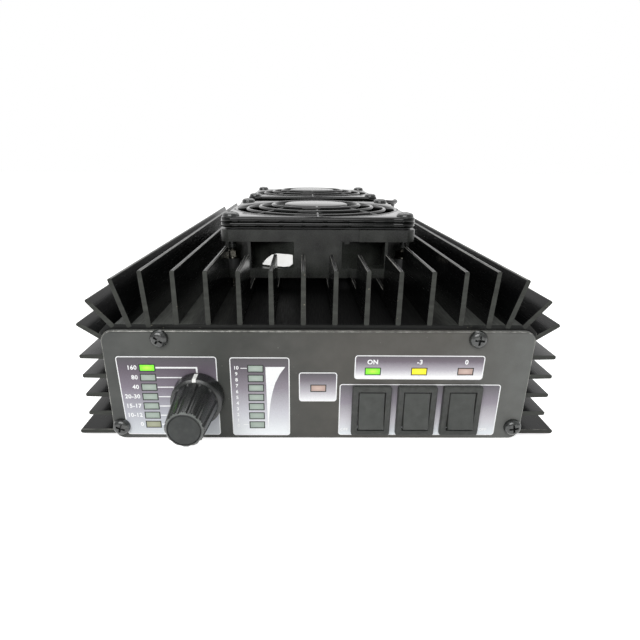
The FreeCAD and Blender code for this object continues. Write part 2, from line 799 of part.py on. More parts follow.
def pointer_inner():
    return knob_body_radius + pointer_gap


def knob_blank():
    nose = knob_length - knob_nose_round
    profile = [(0, 0), (skirt_radius, 0), (skirt_front_radius, skirt_height),
               (skirt_front_radius - skirt_bevel, skirt_height + skirt_crown),
               (knob_body_radius, skirt_height + skirt_root),
               (knob_nose_radius, nose), (knob_nose_radius - knob_nose_round, knob_length), (0, knob_length)]
    return turned(profile, vec(0, 0, 0), Z_AXIS)


def flute(index):
    """A long groove that follows the body's taper and runs out at the nose."""
    turn = 2 * math.pi * (index + 0.5) / flute_count
    low = skirt_height + flute_start
    high = knob_length + through
    slope = (knob_body_radius - knob_nose_radius) / (knob_length - skirt_height)
    offset = flute_radius - flute_depth
    r_low = knob_body_radius - slope * (low - skirt_height) + offset
    r_high = knob_body_radius - slope * (high - skirt_height) + offset
    start = vec(r_low * math.cos(turn), r_low * math.sin(turn), low)
    end = vec(r_high * math.cos(turn), r_high * math.sin(turn), high)
    groove = rod(flute_radius, start, end - start, (end - start).Length)
    return groove.fuse(Part.makeSphere(flute_radius, start))


def shaft_section(radius, flat, start, length):
    """A D-shaped rod along Z."""
    round_rod = rod(radius, vec(0, 0, start), Z_AXIS, length)
    return round_rod.cut(block(-radius, radius, -2 * radius, -(radius - flat), start - through,
                               start + length + through))


def knob():
    body = knob_blank()
    tools = [flute(i) for i in range(flute_count)]
    tools.append(rod(knob_recess_radius, vec(0, 0, -through), Z_AXIS, knob_recess_depth + through))
    tools.append(shaft_section(shaft_radius + knob_bore_gap, shaft_flat, -through,
                               shaft_in_knob + shaft_end_gap + through))
    tools.append(rod(cap_radius + cap_gap, vec(0, 0, knob_length - cap_depth), Z_AXIS, cap_depth + through))
    tools.append(rod(grub_radius + knob_bore_gap, vec(0, 0, grub_height), FORWARD, skirt_radius))
    tools.append(pointer_region(pointer_inner(), skirt_radius + through, skirt_height + through))
    return in_knob(cut_from(body, tools))


def knob_pointer():
    top = skirt_height + pointer_proud
    profile = [(0, 0), (skirt_radius + pointer_proud, 0), (skirt_front_radius + pointer_proud, skirt_height),
               (skirt_front_radius - skirt_bevel, top + skirt_crown), (knob_body_radius, top + skirt_root),
               (0, top + skirt_root)]
    proud_skirt = turned(profile, vec(0, 0, 0), Z_AXIS)
    strip = pointer_region(pointer_inner(), skirt_radius + through, skirt_height + through)
    return in_knob(proud_skirt.common(strip).Solids[0])


def knob_cap():
    height = cap_depth + cap_proud
    cap = turned([(0, 0), (cap_radius, 0), (cap_radius, height - cap_bevel), (cap_radius - cap_bevel, height),
                  (0, height)], vec(0, 0, knob_length - cap_depth), Z_AXIS)
    return in_knob(cap)


def knob_shaft():
    back = -(knob_gap + film_thickness + panel_thickness + selector_body_depth / 2)
    d_end = shaft_section(shaft_radius, shaft_flat, knob_recess_depth, shaft_in_knob - knob_recess_depth)
    return in_knob(joined([rod(shaft_radius, vec(0, 0, back), Z_AXIS, knob_recess_depth - back), d_end]))


def knob_grub_screw():
    seat = shaft_radius - shaft_flat
    screw = rod(grub_radius, vec(0, -seat, grub_height), FORWARD, grub_length)
    socket = hex_prism(grub_key, vec(0, -(seat + grub_length), grub_height), Y_AXIS, grub_key_depth)
    return in_knob(screw.cut(socket).Solids[0])


def selector_body():
    """The rotary switch behind the panel, with its threaded bushing through the panel."""
    can = rod(selector_body_radius, vec(knob_x, front_y, knob_z), Y_AXIS, selector_body_depth)
    bushing = rod(bushing_radius, vec(knob_x, film_front - bushing_proud, knob_z), Y_AXIS,
                  front_y - film_front + bushing_proud + selector_root)
    rear = front_y + selector_body_depth
    radius = selector_body_radius - selector_lug_inset
    half = selector_lug_width / 2
    lugs = []
    for k in range(selector_lug_count):
        turn = 2 * math.pi * k / selector_lug_count
        x = knob_x + radius * math.cos(turn)
        z = knob_z + radius * math.sin(turn)
        lugs.append(block(x - half, x + half, rear - selector_root, rear + selector_lug_length,
                          z - half, z + half))
    bore = rod(shaft_radius + shaft_fit, vec(knob_x, film_front - bushing_proud - through, knob_z), Y_AXIS,
               bushing_proud + through + film_thickness + panel_thickness + selector_body_depth / 2
               + selector_bore_extra)
    return cut_from(joined([can, bushing] + lugs), [bore])


def selector_nut():
    washer = rod(bushing_nut_flats / 2, vec(knob_x, film_front, knob_z), FORWARD, washer_height)
    seat = vec(knob_x, film_front - washer_height, knob_z)
    nut = hex_prism(bushing_nut_flats, seat, FORWARD, bushing_nut_height)
    hole = rod(bushing_radius + thread_gap, vec(knob_x, film_front + through, knob_z), FORWARD, knob_length)
    return group([washer.cut(hole).Solids[0], nut.cut(hole).Solids[0]])


# ---- Rocker switches ----
def switch_housing(x):
    bezel = rounded_plate(x, rocker_z, bezel_width, bezel_height, bezel_round, bezel_face, film_front)
    rim = [edge for edge in bezel.Edges if edge.BoundBox.YMax < bezel_face + tolerance]
    bezel = bezel.makeChamfer(bezel_bevel, rim)
    w = bezel_width / 2 - housing_inset
    h = bezel_height / 2 - housing_inset
    body = block(x - w, x + w, film_front, film_front + housing_depth, rocker_z - h, rocker_z + h)
    back = film_front + housing_depth
    terminals = []
    for k in (-1, 0, 1):
        z = rocker_z + k * terminal_pitch
        half = terminal_thickness / 2
        terminals.append(block(x - terminal_width / 2, x + terminal_width / 2, back - terminal_root,
                               back + terminal_length, z - half, z + half))
    cavity = block(x - cavity_width / 2, x + cavity_width / 2, bezel_face - through,
                   bezel_face + cavity_depth, rocker_z - cavity_height / 2, rocker_z + cavity_height / 2)
    reach = rocker_width / 2 + trunnion_length + trunnion_end_gap
    pivots = rod(trunnion_radius + trunnion_fit, vec(x - reach, pivot_y, rocker_z), X_AXIS, 2 * reach)
    return cut_from(joined([bezel, body] + terminals), [cavity, pivots])


def rocker(x):
    """The rocker with its upper end pressed in; its trunnions are moulded on."""
    half = rocker_half_height
    left = x - rocker_width / 2
    lowest = rocker_sag - rocker_face
    ends = [vec(left, -rocker_face, side * half) for side in (-1, 1)]
    face = Part.Arc(ends[0], vec(left, lowest, 0), ends[1]).toShape()
    upper = [(half, -rocker_face)] + rocker_back
    back = Part.makePolygon([vec(left, y, z) for z, y in upper + [(-z, y) for z, y in reversed(upper)]])
    paddle = Part.Face(Part.Wire([face, back])).extrude(vec(rocker_width, 0, 0))
    long_edges = [edge for edge in paddle.Edges
                  if edge.BoundBox.YMax < lowest + tolerance and edge.BoundBox.ZLength > tolerance]
    end_edges = [edge for edge in paddle.Edges
                 if edge.BoundBox.YMax < tolerance - rocker_face and edge.BoundBox.ZLength < tolerance]
    paddle = paddle.makeFillet(rocker_round, long_edges + end_edges)
    reach = rocker_width / 2 + trunnion_length
    pins = rod(trunnion_radius, vec(x - reach, 0, 0), X_AXIS, 2 * reach)
    piece = joined([paddle, pins]).rotated(vec(0, 0, 0), X_AXIS, -rocker_tilt)
    return piece.translated(vec(0, pivot_y, rocker_z))


# ---- Fans ----
def square_plate(y, size, corner, z0, z1):
    """A square plate that lies flat, with rounded corners, centred on a fan."""
    half = size / 2
    plate = block(fan_x - half, fan_x + half, y - half, y + half, z0, z1)
    return plate.makeFillet(corner, edges_along(plate, Z_AXIS))


def corner_places(y, spacing):
    return [(fan_x + sx * spacing / 2, y + sy * spacing / 2) for sx in (-1, 1) for sy in (-1, 1)]


def fan_frame(y):
    centre = vec(fan_x, y, fan_bottom)
    half = fan_size / 2
    flanges = [square_plate(y, fan_size, fan_corner, fan_bottom, fan_bottom + lower_flange),
               square_plate(y, fan_size, fan_corner, fan_top - upper_flange, fan_top)]
    square = block(fan_x - half, fan_x + half, y - half, y + half, fan_bottom, fan_top)
    barrel = rod(barrel_radius, centre, Z_AXIS, fan_thickness).common(square)
    webs = []
    for side in (-1, 1):
        for near in (-1, 1):
            low, high = sorted((near * web_start, near * (half - web_edge_gap)))
            inner = side * web_offset - web_thickness / 2
            outer = side * web_offset + web_thickness / 2
            z0 = fan_bottom + web_end_gap
            z1 = fan_top - web_end_gap
            webs.append(block(fan_x + inner, fan_x + outer, y + low, y + high, z0, z1))
            webs.append(block(fan_x + low, fan_x + high, y + inner, y + outer, z0, z1))
    duct = rod(fan_bore_radius, centre - Z_AXIS * through, Z_AXIS, fan_thickness + 2 * through)
    shell = cut_from(joined(flanges + [barrel] + webs), [duct])
    base = rod(motor_base_radius, centre, Z_AXIS, strut_height)
    strut = block(fan_x, fan_x + fan_bore_radius + through, y - strut_width / 2, y + strut_width / 2,
                  fan_bottom, fan_bottom + strut_height)
    struts = [strut.rotated(centre, Z_AXIS, strut_first + 360 * i / strut_count) for i in range(strut_count)]
    tube = rod(bearing_tube_radius, centre, Z_AXIS, fan_thickness - hub_top_gap - hub_wall - bearing_top_gap)
    frame = joined([shell, base, tube] + struts)
    notch_middle = fan_x + wire_notch_x
    notch_rear = y - half + wire_notch_depth
    notch = block(notch_middle - wire_notch_width / 2, notch_middle + wire_notch_width / 2, y - half - through,
                  notch_rear, fan_top - upper_flange - through, fan_top + through)
    slot = block(notch_middle - web_thickness, notch_middle, y - half - through, notch_rear,
                 fan_bottom - through, fan_bottom + lower_flange + through)
    tools = [notch, slot, rod(bearing_bore, centre - Z_AXIS * through, Z_AXIS, fan_thickness)]
    tools += [rod(fan_hole_radius, vec(hx, hy, fan_bottom - through), Z_AXIS, fan_thickness + 2 * through)
              for hx, hy in corner_places(y, fan_hole_spacing)]
    return cut_from(frame, tools)


def fan_stator(y):
    """The motor's wound core on the bearing tube."""
    low = fan_bottom + strut_height
    seat = low + stator_foot_height
    top = fan_top - hub_top_gap - hub_wall - bearing_top_gap - stator_gap
    radius = hub_radius - hub_wall - stator_gap
    core = rod(radius, vec(fan_x, y, seat), Z_AXIS, top - seat)
    foot = rod(radius - stator_foot_inset, vec(fan_x, y, low), Z_AXIS, stator_foot_height)
    hole = rod(bearing_tube_radius, vec(fan_x, y, low - through), Z_AXIS, fan_thickness)
    slot = block(fan_x + radius - stator_slot_depth, fan_x + radius + through, y - stator_slot_width / 2,
                 y + stator_slot_width / 2, seat - through, top + through)
    slots = [slot.rotated(vec(fan_x, y, 0), Z_AXIS, stator_slot_first + 360 * k / stator_slot_count)
             for k in range(stator_slot_count)]
    return cut_from(joined([core, foot]), [hole] + slots)


def fan_blade(y, angle):
    """A twisted blade: thin sections at the hub and at the tip, joined by a ruled surface."""
    middle = fan_bottom + strut_height + hub_floor_gap + blade_rim_gap + blade_root_height / 2
    sections = []
    for radius, height, pitch in ((hub_radius - blade_root_sink, blade_root_height, blade_root_angle),
                                  (fan_bore_radius - blade_tip_gap, blade_tip_height, blade_tip_angle)):
        tilt = math.radians(pitch)
        run = height / math.tan(tilt) / 2
        rise = height / 2
        thick = fan_blade_thickness / 2
        corners = [(-run, -rise - thick), (run, rise - thick), (run, rise + thick), (-run, -rise + thick)]
        points = [vec(fan_x + radius, y + across, middle + up) for across, up in corners]
        sections.append(Part.makePolygon(points + points[:1]))
    blade = Part.makeLoft(sections, True, True)
    return blade.rotated(vec(fan_x, y, 0), Z_AXIS, angle)


def fan_rotor(y):
    """The impeller: a cup over the stator, its shaft and its blades."""
    rim = fan_bottom + strut_height + hub_floor_gap
    top = fan_top - hub_top_gap
    cup = turned([(0, rim), (hub_radius, rim), (hub_radius, top - hub_bevel), (hub_radius - hub_bevel, top),
                  (0, top)], vec(fan_x, y, 0), Z_AXIS)
    hollow = rod(hub_radius - hub_wall, vec(fan_x, y, rim - through), Z_AXIS, top - hub_wall - rim + through)
    blades = [fan_blade(y, 360 * i / blade_count + blade_first) for i in range(blade_count)]
    cup_and_blades = joined([cup] + blades)
    cup_and_blades = cut_from(cup_and_blades, [hollow])
    sweep = rod(fan_bore_radius - blade_tip_gap, vec(fan_x, y, fan_bottom), Z_AXIS, fan_thickness)
    cup_and_blades = cup_and_blades.common(sweep)
    low = fan_bottom + fan_shaft_lift
    shaft = rod(fan_shaft_radius, vec(fan_x, y, low), Z_AXIS, top - hub_wall / 2 - low)
    return joined([cup_and_blades, shaft])


def guard_outline(y, z0, z1):
    """The guard's square with rounded bosses at its corners."""
    inset = fan_size / 2 - guard_boss_radius
    plate = square_plate(y, fan_size - 2 * guard_step, fan_corner, z0, z1)
    bosses = [rod(guard_boss_radius, vec(fan_x + sx * inset, y + sy * inset, z0), Z_AXIS, z1 - z0)
              for sx in (-1, 1) for sy in (-1, 1)]
    return joined([plate] + bosses)


def guard_frame(y, z0, z1, bevel):
    """One layer of the guard, with its upper edges bevelled, its round opening and its screw holes."""
    body = guard_outline(y, z0, z1)
    body = body.makeChamfer(bevel, [edge for edge in body.Edges if edge.BoundBox.ZMin > z1 - tolerance])
    start = z0 - through
    length = z1 - z0 + 2 * through
    tools = [rod(guard_opening, vec(fan_x, y, start), Z_AXIS, length)]
    tools += [rod(guard_hole_radius, vec(hx, hy, start), Z_AXIS, length)
              for hx, hy in corner_places(y, fan_hole_spacing)]
    return cut_from(body, tools)


def guard_base(y):
    return guard_frame(y, fan_top, fan_top + guard_base_height, guard_base_bevel)


def guard_cover(y):
    frame = guard_frame(y, fan_top + guard_base_height, guard_top, guard_cover_bevel)
    rings = [Part.makeTorus(radius, guard_ring_tube, vec(fan_x, y, top - guard_ring_tube), Z_AXIS)
             for radius, top in guard_rings]
    low_across, low_up, high_across = guard_disc_bevels
    disc = turned([(0, 0), (guard_disc_radius - low_across, 0), (guard_disc_radius, low_up),
                   (guard_disc_radius - high_across, guard_disc_height), (0, guard_disc_height)],
                  vec(fan_x, y, guard_disc_top - guard_disc_height), Z_AXIS)
    return joined([frame, disc] + rings + guard_spokes(y))


def guard_spokes(y):
    """Spokes that follow the rise of the rings from the frame to the disc."""
    upper = [(guard_opening + guard_spoke_end, guard_top - guard_spoke_foot)]
    upper += [(radius, top - guard_spoke_drop)
              for radius, top in guard_rings + [(guard_disc_radius - guard_spoke_end, guard_disc_top)]]
    lower = [(r, top - guard_spoke_height) for r, top in reversed(upper)]
    points = [vec(r, -guard_spoke_width / 2, z) for r, z in upper + lower]
    bar = Part.Face(Part.makePolygon(points + points[:1])).extrude(vec(0, guard_spoke_width, 0))
    bar = bar.translated(vec(fan_x, y, 0))
    return [bar.rotated(vec(fan_x, y, 0), Z_AXIS, 360 * k / guard_spoke_count)
            for k in range(guard_spoke_count)]


def guard_screws():
    return group([pan_screw(guard_head_radius, guard_head_height, guard_screw_radius, guard_screw_length,
                            vec(x, y, guard_top), Z_AXIS, recess_step * i)
                  for i, (x, y) in enumerate(stud_places())])


def fan_studs():
    low = deck_top - stud_depth + thread_gap
    return group([rod(stud_radius, vec(x, y, low), Z_AXIS, stud_top - low) for x, y in stud_places()])


def fan_spacers():
    foot = fan_bottom + lower_flange
    pieces = []
    for x, y in stud_places():
        cone = Part.makeCone(spacer_foot_radius, spacer_top_radius, spacer_height, vec(x, y, foot))
        hole = rod(stud_radius + thread_gap, vec(x, y, foot - through), Z_AXIS, fan_thickness)
        pieces.append(cone.cut(hole).Solids[0])
    return group(pieces)


def fan_nuts():
    seat = fan_bottom + lower_flange + spacer_height
    pieces = []
    for i, (x, y) in enumerate(stud_places()):
        hole = rod(stud_radius + thread_gap, vec(x, y, seat - through), Z_AXIS, fan_thickness)
        washer = rod(fan_washer_radius, vec(x, y, seat), Z_AXIS, washer_height)
        nut = hex_prism(nut_flats, vec(x, y, seat + washer_height), Z_AXIS, nut_height)
        nut = nut.rotated(vec(x, y, 0), Z_AXIS, recess_step * i)
        pieces += [washer.cut(hole).Solids[0], nut.cut(hole).Solids[0]]
    return group(pieces)


def fan_label():
    """A blank label on the front fan's barrel, left of the middle."""
    y = fan_centres[0]
    start = vec(fan_x, y, label_bottom)
    turn = label_to - label_from
    outer = Part.makeCylinder(barrel_radius + label_thickness, label_height, start, Z_AXIS, turn)
    inner = rod(barrel_radius, start - Z_AXIS * through, Z_AXIS, label_height + 2 * through)
    return outer.cut(inner).Solids[0].rotated(start, Z_AXIS, -90 - label_to)


# ---- Boards and what they carry ----
def display_board():
    y0 = display_front
    y1 = y0 + board_thickness
    half = display_board_half_width
    board = block(-half, half, y0, y1, display_board_bottom, display_board_top)
    tools = switch_openings(board_opening_gap, y0 - through, y1 + through)
    tools.append(rod(selector_body_radius + board_opening_gap, vec(knob_x, y0 - through, knob_z), Y_AXIS,
                     board_thickness + 2 * through))
    return cut_from(board, tools)


def display_spacers():
    x = display_board_half_width - display_spacer_inset
    low = display_board_bottom + display_spacer_inset
    high = display_board_top - display_spacer_inset
    return [rod(display_spacer_radius, vec(side * x, front_y, z), Y_AXIS, display_board_y)
            for side in (-1, 1) for z in (low, high)]


def clamp_screw_places():
    return [(i - (transistor_count - 2) / 2) * transistor_pitch for i in range(transistor_count - 1)]


def transistor_row_half():
    return (transistor_count - 1) * transistor_pitch / 2 + transistor_width / 2


def transistor_window():
    half = transistor_row_half() + window_margin
    reach = transistor_length / 2 + window_margin
    return block(-half, half, transistor_y - reach, transistor_y + reach, main_board_bottom - through,
                 main_board_top + through)


def main_board():
    board = block(-main_board_half_width, main_board_half_width, main_board_front, main_board_rear,
                  main_board_bottom, main_board_top)
    return cut_from(board, [transistor_window()])


def main_board_spacers():
    x = main_board_half_width - standoff_inset
    low = main_board_front + standoff_inset
    high = main_board_rear - standoff_inset
    return [rod(standoff_radius, vec(side * x, y, main_board_top), Z_AXIS, main_board_drop)
            for side in (-1, 1) for y in (low, (low + high) / 2, high)]


def power_transistors():
    """Each has a metal flange against the deck, and a narrower lid below it."""
    pieces = []
    seat = deck_bottom - transistor_flange
    reach = transistor_length / 2
    for i in range(transistor_count):
        x = (i - (transistor_count - 1) / 2) * transistor_pitch
        half = transistor_width / 2
        flange = block(x - half, x + half, transistor_y - reach, transistor_y + reach, seat, deck_bottom)
        half = half - transistor_flange
        lid = block(x - half, x + half, transistor_y - reach / 2, transistor_y + reach / 2,
                    deck_bottom - transistor_height, seat)
        pieces.append(joined([flange, lid]))
    return group(pieces)


def transistor_clamp():
    """A bar that presses the transistors against the deck."""
    half = transistor_row_half()
    top = deck_bottom - transistor_height
    low = top - clamp_thickness
    bar = block(-half, half, transistor_y - clamp_width / 2, transistor_y + clamp_width / 2, low, top)
    holes = [rod(clamp_screw_radius + screw_gap, vec(x, transistor_y, low - through), Z_AXIS,
                 clamp_thickness + 2 * through) for x in clamp_screw_places()]
    return cut_from(bar, holes)


def clamp_screws():
    seat = deck_bottom - transistor_height - clamp_thickness
    length = clamp_thickness + transistor_height + stud_depth - tap_extra
    return group([pan_screw(clamp_head_radius, clamp_head_height, clamp_screw_radius, length,
                            vec(x, transistor_y, seat), vec(0, 0, -1)) for x in clamp_screw_places()])


def rf_core(y, scale):
    """A two-hole ferrite core that hangs below the main board."""
    half = core_length * scale / 2
    width = core_width * scale / 2
    top = main_board_bottom
    low = top - core_height * scale
    core = block(-width, width, y - half, y + half, low, top)
    bores = [rod(core_bore_radius * scale, vec(side * width / 2, y - half - through, (top + low) / 2), Y_AXIS,
                 2 * half + 2 * through) for side in (-1, 1)]
    return cut_from(core, bores)


def band_relays():
    left = -(relays_per_row - 1) * relay_pitch / 2 - relay_width / 2
    front = relay_row_y - relay_length / 2
    low = main_board_bottom - relay_height
    relay = block(left, left + relay_width, front, front + relay_length, low, main_board_bottom)
    return group([relay.translated(vec(i * relay_pitch, 0, 0)) for i in range(relays_per_row)])


def filter_toroids():
    first = -(toroids_per_row - 1) * toroid_pitch / 2
    z = main_board_bottom - toroid_tube
    return group([Part.makeTorus(toroid_radius, toroid_tube, vec(first + i * toroid_pitch, y, z), Z_AXIS)
                  for y in (toroid_row_y - toroid_row_gap / 2, toroid_row_y + toroid_row_gap / 2)
                  for i in range(toroids_per_row)])


def supply_capacitors():
    y = capacitor_y - capacitor_length / 2
    z = main_board_bottom - capacitor_radius
    return group([rod(capacitor_radius, vec(side * capacitor_x, y, z), Y_AXIS, capacitor_length)
                  for side in (-1, 1)])


# ---- Rear connections ----
def socket_screw_places(x):
    half = socket_hole_spacing / 2
    return [(x + sx * half, socket_z + sz * half) for sx in (-1, 1) for sz in (-1, 1)]


def socket_shell(x):
    """Square flange and threaded barrel of a coaxial socket."""
    base = rear_face
    flange_rear = base + socket_flange_thickness
    length = socket_flange_thickness + socket_thread_length
    flange = rounded_plate(x, socket_z, socket_flange, socket_flange, socket_flange_corner, base, flange_rear)
    barrel = rod(socket_thread_radius, vec(x, base, socket_z), Y_AXIS, length)
    mouth = [edge for edge in barrel.Edges if edge.BoundBox.YMin > base + length - tolerance]
    barrel = barrel.makeChamfer(socket_mouth_bevel, mouth)
    tail = rod(socket_tail_radius, vec(x, base - socket_tail_length, socket_z), Y_AXIS,
               socket_tail_length + socket_flange_thickness)
    bore = rod(socket_thread_radius - socket_wall, vec(x, base + socket_flange_thickness, socket_z), Y_AXIS,
               socket_thread_length + through)
    core = rod(socket_tail_radius - socket_web, vec(x, base - socket_tail_length - through, socket_z), Y_AXIS,
               socket_tail_length + socket_flange_thickness + 2 * through)
    holes = [rod(flange_screw_radius + screw_gap, vec(sx, base - through, sz), Y_AXIS,
                 socket_flange_thickness + 2 * through) for sx, sz in socket_screw_places(x)]
    return cut_from(joined([flange, barrel, tail]), [bore, core] + holes)


def socket_insulator(x):
    front = rear_face + socket_flange_thickness
    length = socket_thread_length - insulator_depth
    body = rod(socket_thread_radius - socket_wall, vec(x, front, socket_z), Y_AXIS, length)
    tail = rod(socket_tail_radius - socket_web, vec(x, rear_face - socket_tail_length, socket_z), Y_AXIS,
               socket_tail_length + socket_flange_thickness + through)
    hole = rod(contact_radius, vec(x, rear_face - socket_tail_length - through, socket_z), Y_AXIS,
               socket_tail_length + socket_flange_thickness + length + 2 * through)
    return cut_from(joined([body, tail]), [hole])


def socket_contact(x):
    end = rear_face + socket_flange_thickness + socket_thread_length - insulator_depth
    start = rear_face - socket_tail_length - contact_tail_length
    body = rod(contact_radius, vec(x, start, socket_z), Y_AXIS, end - start)
    floor = vec(x, end - contact_bore_length, socket_z)
    return cut_from(body, [rod(contact_bore, floor, Y_AXIS, contact_bore_length + through)])


def socket_screws():
    return group([pan_screw(flange_head_radius, flange_head_height, flange_screw_radius, flange_screw_length,
                            vec(sx, rear_face + socket_flange_thickness, sz), Y_AXIS, recess_step * i)
                  for x in socket_x for i, (sx, sz) in enumerate(socket_screw_places(x))])


def jack_shell():
    base = rear_face
    centre = vec(jack_x, base, jack_z)
    flange = hex_prism(2 * jack_flange_radius, centre, Y_AXIS, jack_flange_height)
    sleeve = rod(jack_radius, centre, Y_AXIS, jack_length)
    tail = rod(jack_tail_radius, centre - Y_AXIS * jack_tail_length, Y_AXIS,
               jack_tail_length + jack_flange_height)
    bore = rod(jack_radius - jack_wall, centre + Y_AXIS * jack_flange_height, Y_AXIS, jack_length)
    core = rod(jack_tail_radius - jack_wall, centre - Y_AXIS * (jack_tail_length + through), Y_AXIS,
               jack_tail_length + jack_flange_height + 2 * through)
    return cut_from(joined([flange, sleeve, tail]), [bore, core])


def jack_insulator():
    centre = vec(jack_x, rear_face, jack_z)
    length = jack_length - jack_insulator_drop - jack_flange_height
    body = rod(jack_radius - jack_wall, centre + Y_AXIS * jack_flange_height, Y_AXIS, length)
    tail = rod(jack_tail_radius - jack_wall, centre - Y_AXIS * jack_tail_length, Y_AXIS,
               jack_tail_length + jack_flange_height + through)
    bore = rod(jack_bore, centre + Y_AXIS * (jack_flange_height + length - jack_bore_length), Y_AXIS,
               jack_bore_length + through)
    return cut_from(joined([body, tail]), [bore])


def cable_gland():
    """Hexagon, dome and threaded tail of the supply cable's gland."""
    centre = vec(gland_x, rear_face, gland_z)
    collar = hex_prism(gland_body_flats, centre, Y_AXIS, gland_body_height)
    dome = turned([(0, 0), (gland_dome_radius, 0), (gland_dome_radius, gland_dome_straight),
                   (gland_bore + gland_mouth_wall, gland_dome_height), (0, gland_dome_height)],
                  centre + Y_AXIS * gland_body_height, Y_AXIS)
    tail = rod(gland_thread_radius, centre - Y_AXIS * gland_tail_length, Y_AXIS, gland_tail_length + through)
    bore = rod(gland_bore, centre - Y_AXIS * (gland_tail_length + through), Y_AXIS,
               gland_tail_length + gland_body_height + gland_dome_height + 2 * through)
    return cut_from(joined([collar, dome, tail]), [bore])


def cable_gland_nut():
    start = vec(gland_x, rear_y, gland_z)
    nut = hex_prism(gland_nut_flats, start, FORWARD, gland_nut_height)
    return nut.cut(rod(gland_thread_radius + thread_gap, start + Y_AXIS * through, FORWARD,
                       gland_nut_height + 2 * through)).Solids[0]


# ---- Leads ----
def channel_x(index):
    """The middle of the gap between two neighbouring upright fins, counted from the middle of the deck."""
    return index * fin_pitch


def grommet_places():
    return [channel_x(lead_channel), rear_grommet_x]


def grommets():
    pieces = []
    for x in grommet_places():
        centre = vec(x, rear_y, rear_grommet_z)
        lip = grommet_radius + grommet_lip
        sleeve = rod(grommet_radius, centre - Y_AXIS * grommet_lip, Y_AXIS,
                     rear_panel_thickness + 2 * grommet_lip)
        lips = [rod(lip, centre - Y_AXIS * grommet_lip, Y_AXIS, grommet_lip),
                rod(lip, centre + Y_AXIS * rear_panel_thickness, Y_AXIS, grommet_lip)]
        hole = rod(lead_radius, centre - Y_AXIS * (grommet_lip + through), Y_AXIS,
                   rear_panel_thickness + 2 * (grommet_lip + through))
        pieces.append(cut_from(joined([sleeve] + lips), [hole]))
    return group(pieces)


def lead_turn_y():
    """How far back a lead reaches where it hangs down behind the rear panel."""
    return rear_face + grommet_lip + (1 + math.sqrt(0.5)) * lead_bend


def lead_end(x):
    """The last points of a lead that comes down behind the rear panel and turns into its grommet."""
    lip = rear_face + grommet_lip
    return [(x, lead_turn_y(), rear_grommet_z + math.sqrt(0.5) * lead_bend),
            (x, lip + lead_bend, rear_grommet_z), (x, lip, rear_grommet_z)]


def front_fan_lead():
    """From the front fan's rear side, along a gap between fins under the rear fan, and over the rear end."""
    x = channel_x(lead_channel)
    frame_rear = fan_centres[0] + fan_size / 2
    low = deck_top + lead_radius + lead_lift
    exit_z = fan_bottom + lower_flange / 2
    points = [(x, frame_rear, exit_z), (x, frame_rear + front_lead_first, exit_z)]
    points.append((x, frame_rear + front_lead_drop[0], low + front_lead_drop[1]))
    points += [(x + aside, frame_rear + share * (rear_y - frame_rear), low)
               for aside, share in front_lead_sway]
    points += [(x + front_lead_last[0], rear_y + front_lead_last[1], low),
               (x, rear_face + grommet_lip + lead_bend, low),
               (x, lead_turn_y(), rear_grommet_z + (1 + math.sqrt(0.5)) * lead_bend)]
    return lead(points + lead_end(x), lead_radius, "front fan lead")


def rear_fan_lead():
    """Leaves the rear fan's right side, crosses the fin tops and arches down over the rear end."""
    x = grommet_places()[1]
    side = fan_x + fan_size / 2
    y = fan_centres[1] + fan_size / 2 - rear_lead_y
    exit_z = fan_top - upper_flange / 2
    high = fin_top + lead_radius + lead_over_fins
    points = [(side, y, exit_z), (side + rear_lead_first, y, exit_z)]
    points += [(x + aside, rear_y + on, high + up) for aside, on, up in rear_lead_run]
    points.append((x + rear_lead_down[0], lead_turn_y(), rear_grommet_z + rear_lead_down[1]))
    return lead(points + lead_end(x), lead_radius, "rear fan lead")


def rf_coaxes():
    """Short leads from the coaxial sockets up to the main board."""
    start = rear_face - socket_tail_length - contact_tail_length
    leads = []
    for i, x in enumerate(socket_x):
        points = [(x, start, socket_z)]
        points += [(x + aside, start - on, socket_z + up) for aside, on, up in coax_run]
        points.append((x + coax_end[0], start - coax_end[1], main_board_bottom))
        leads.append(lead(points, coax_radius, f"coaxial lead {i + 1}"))
    return group(leads)


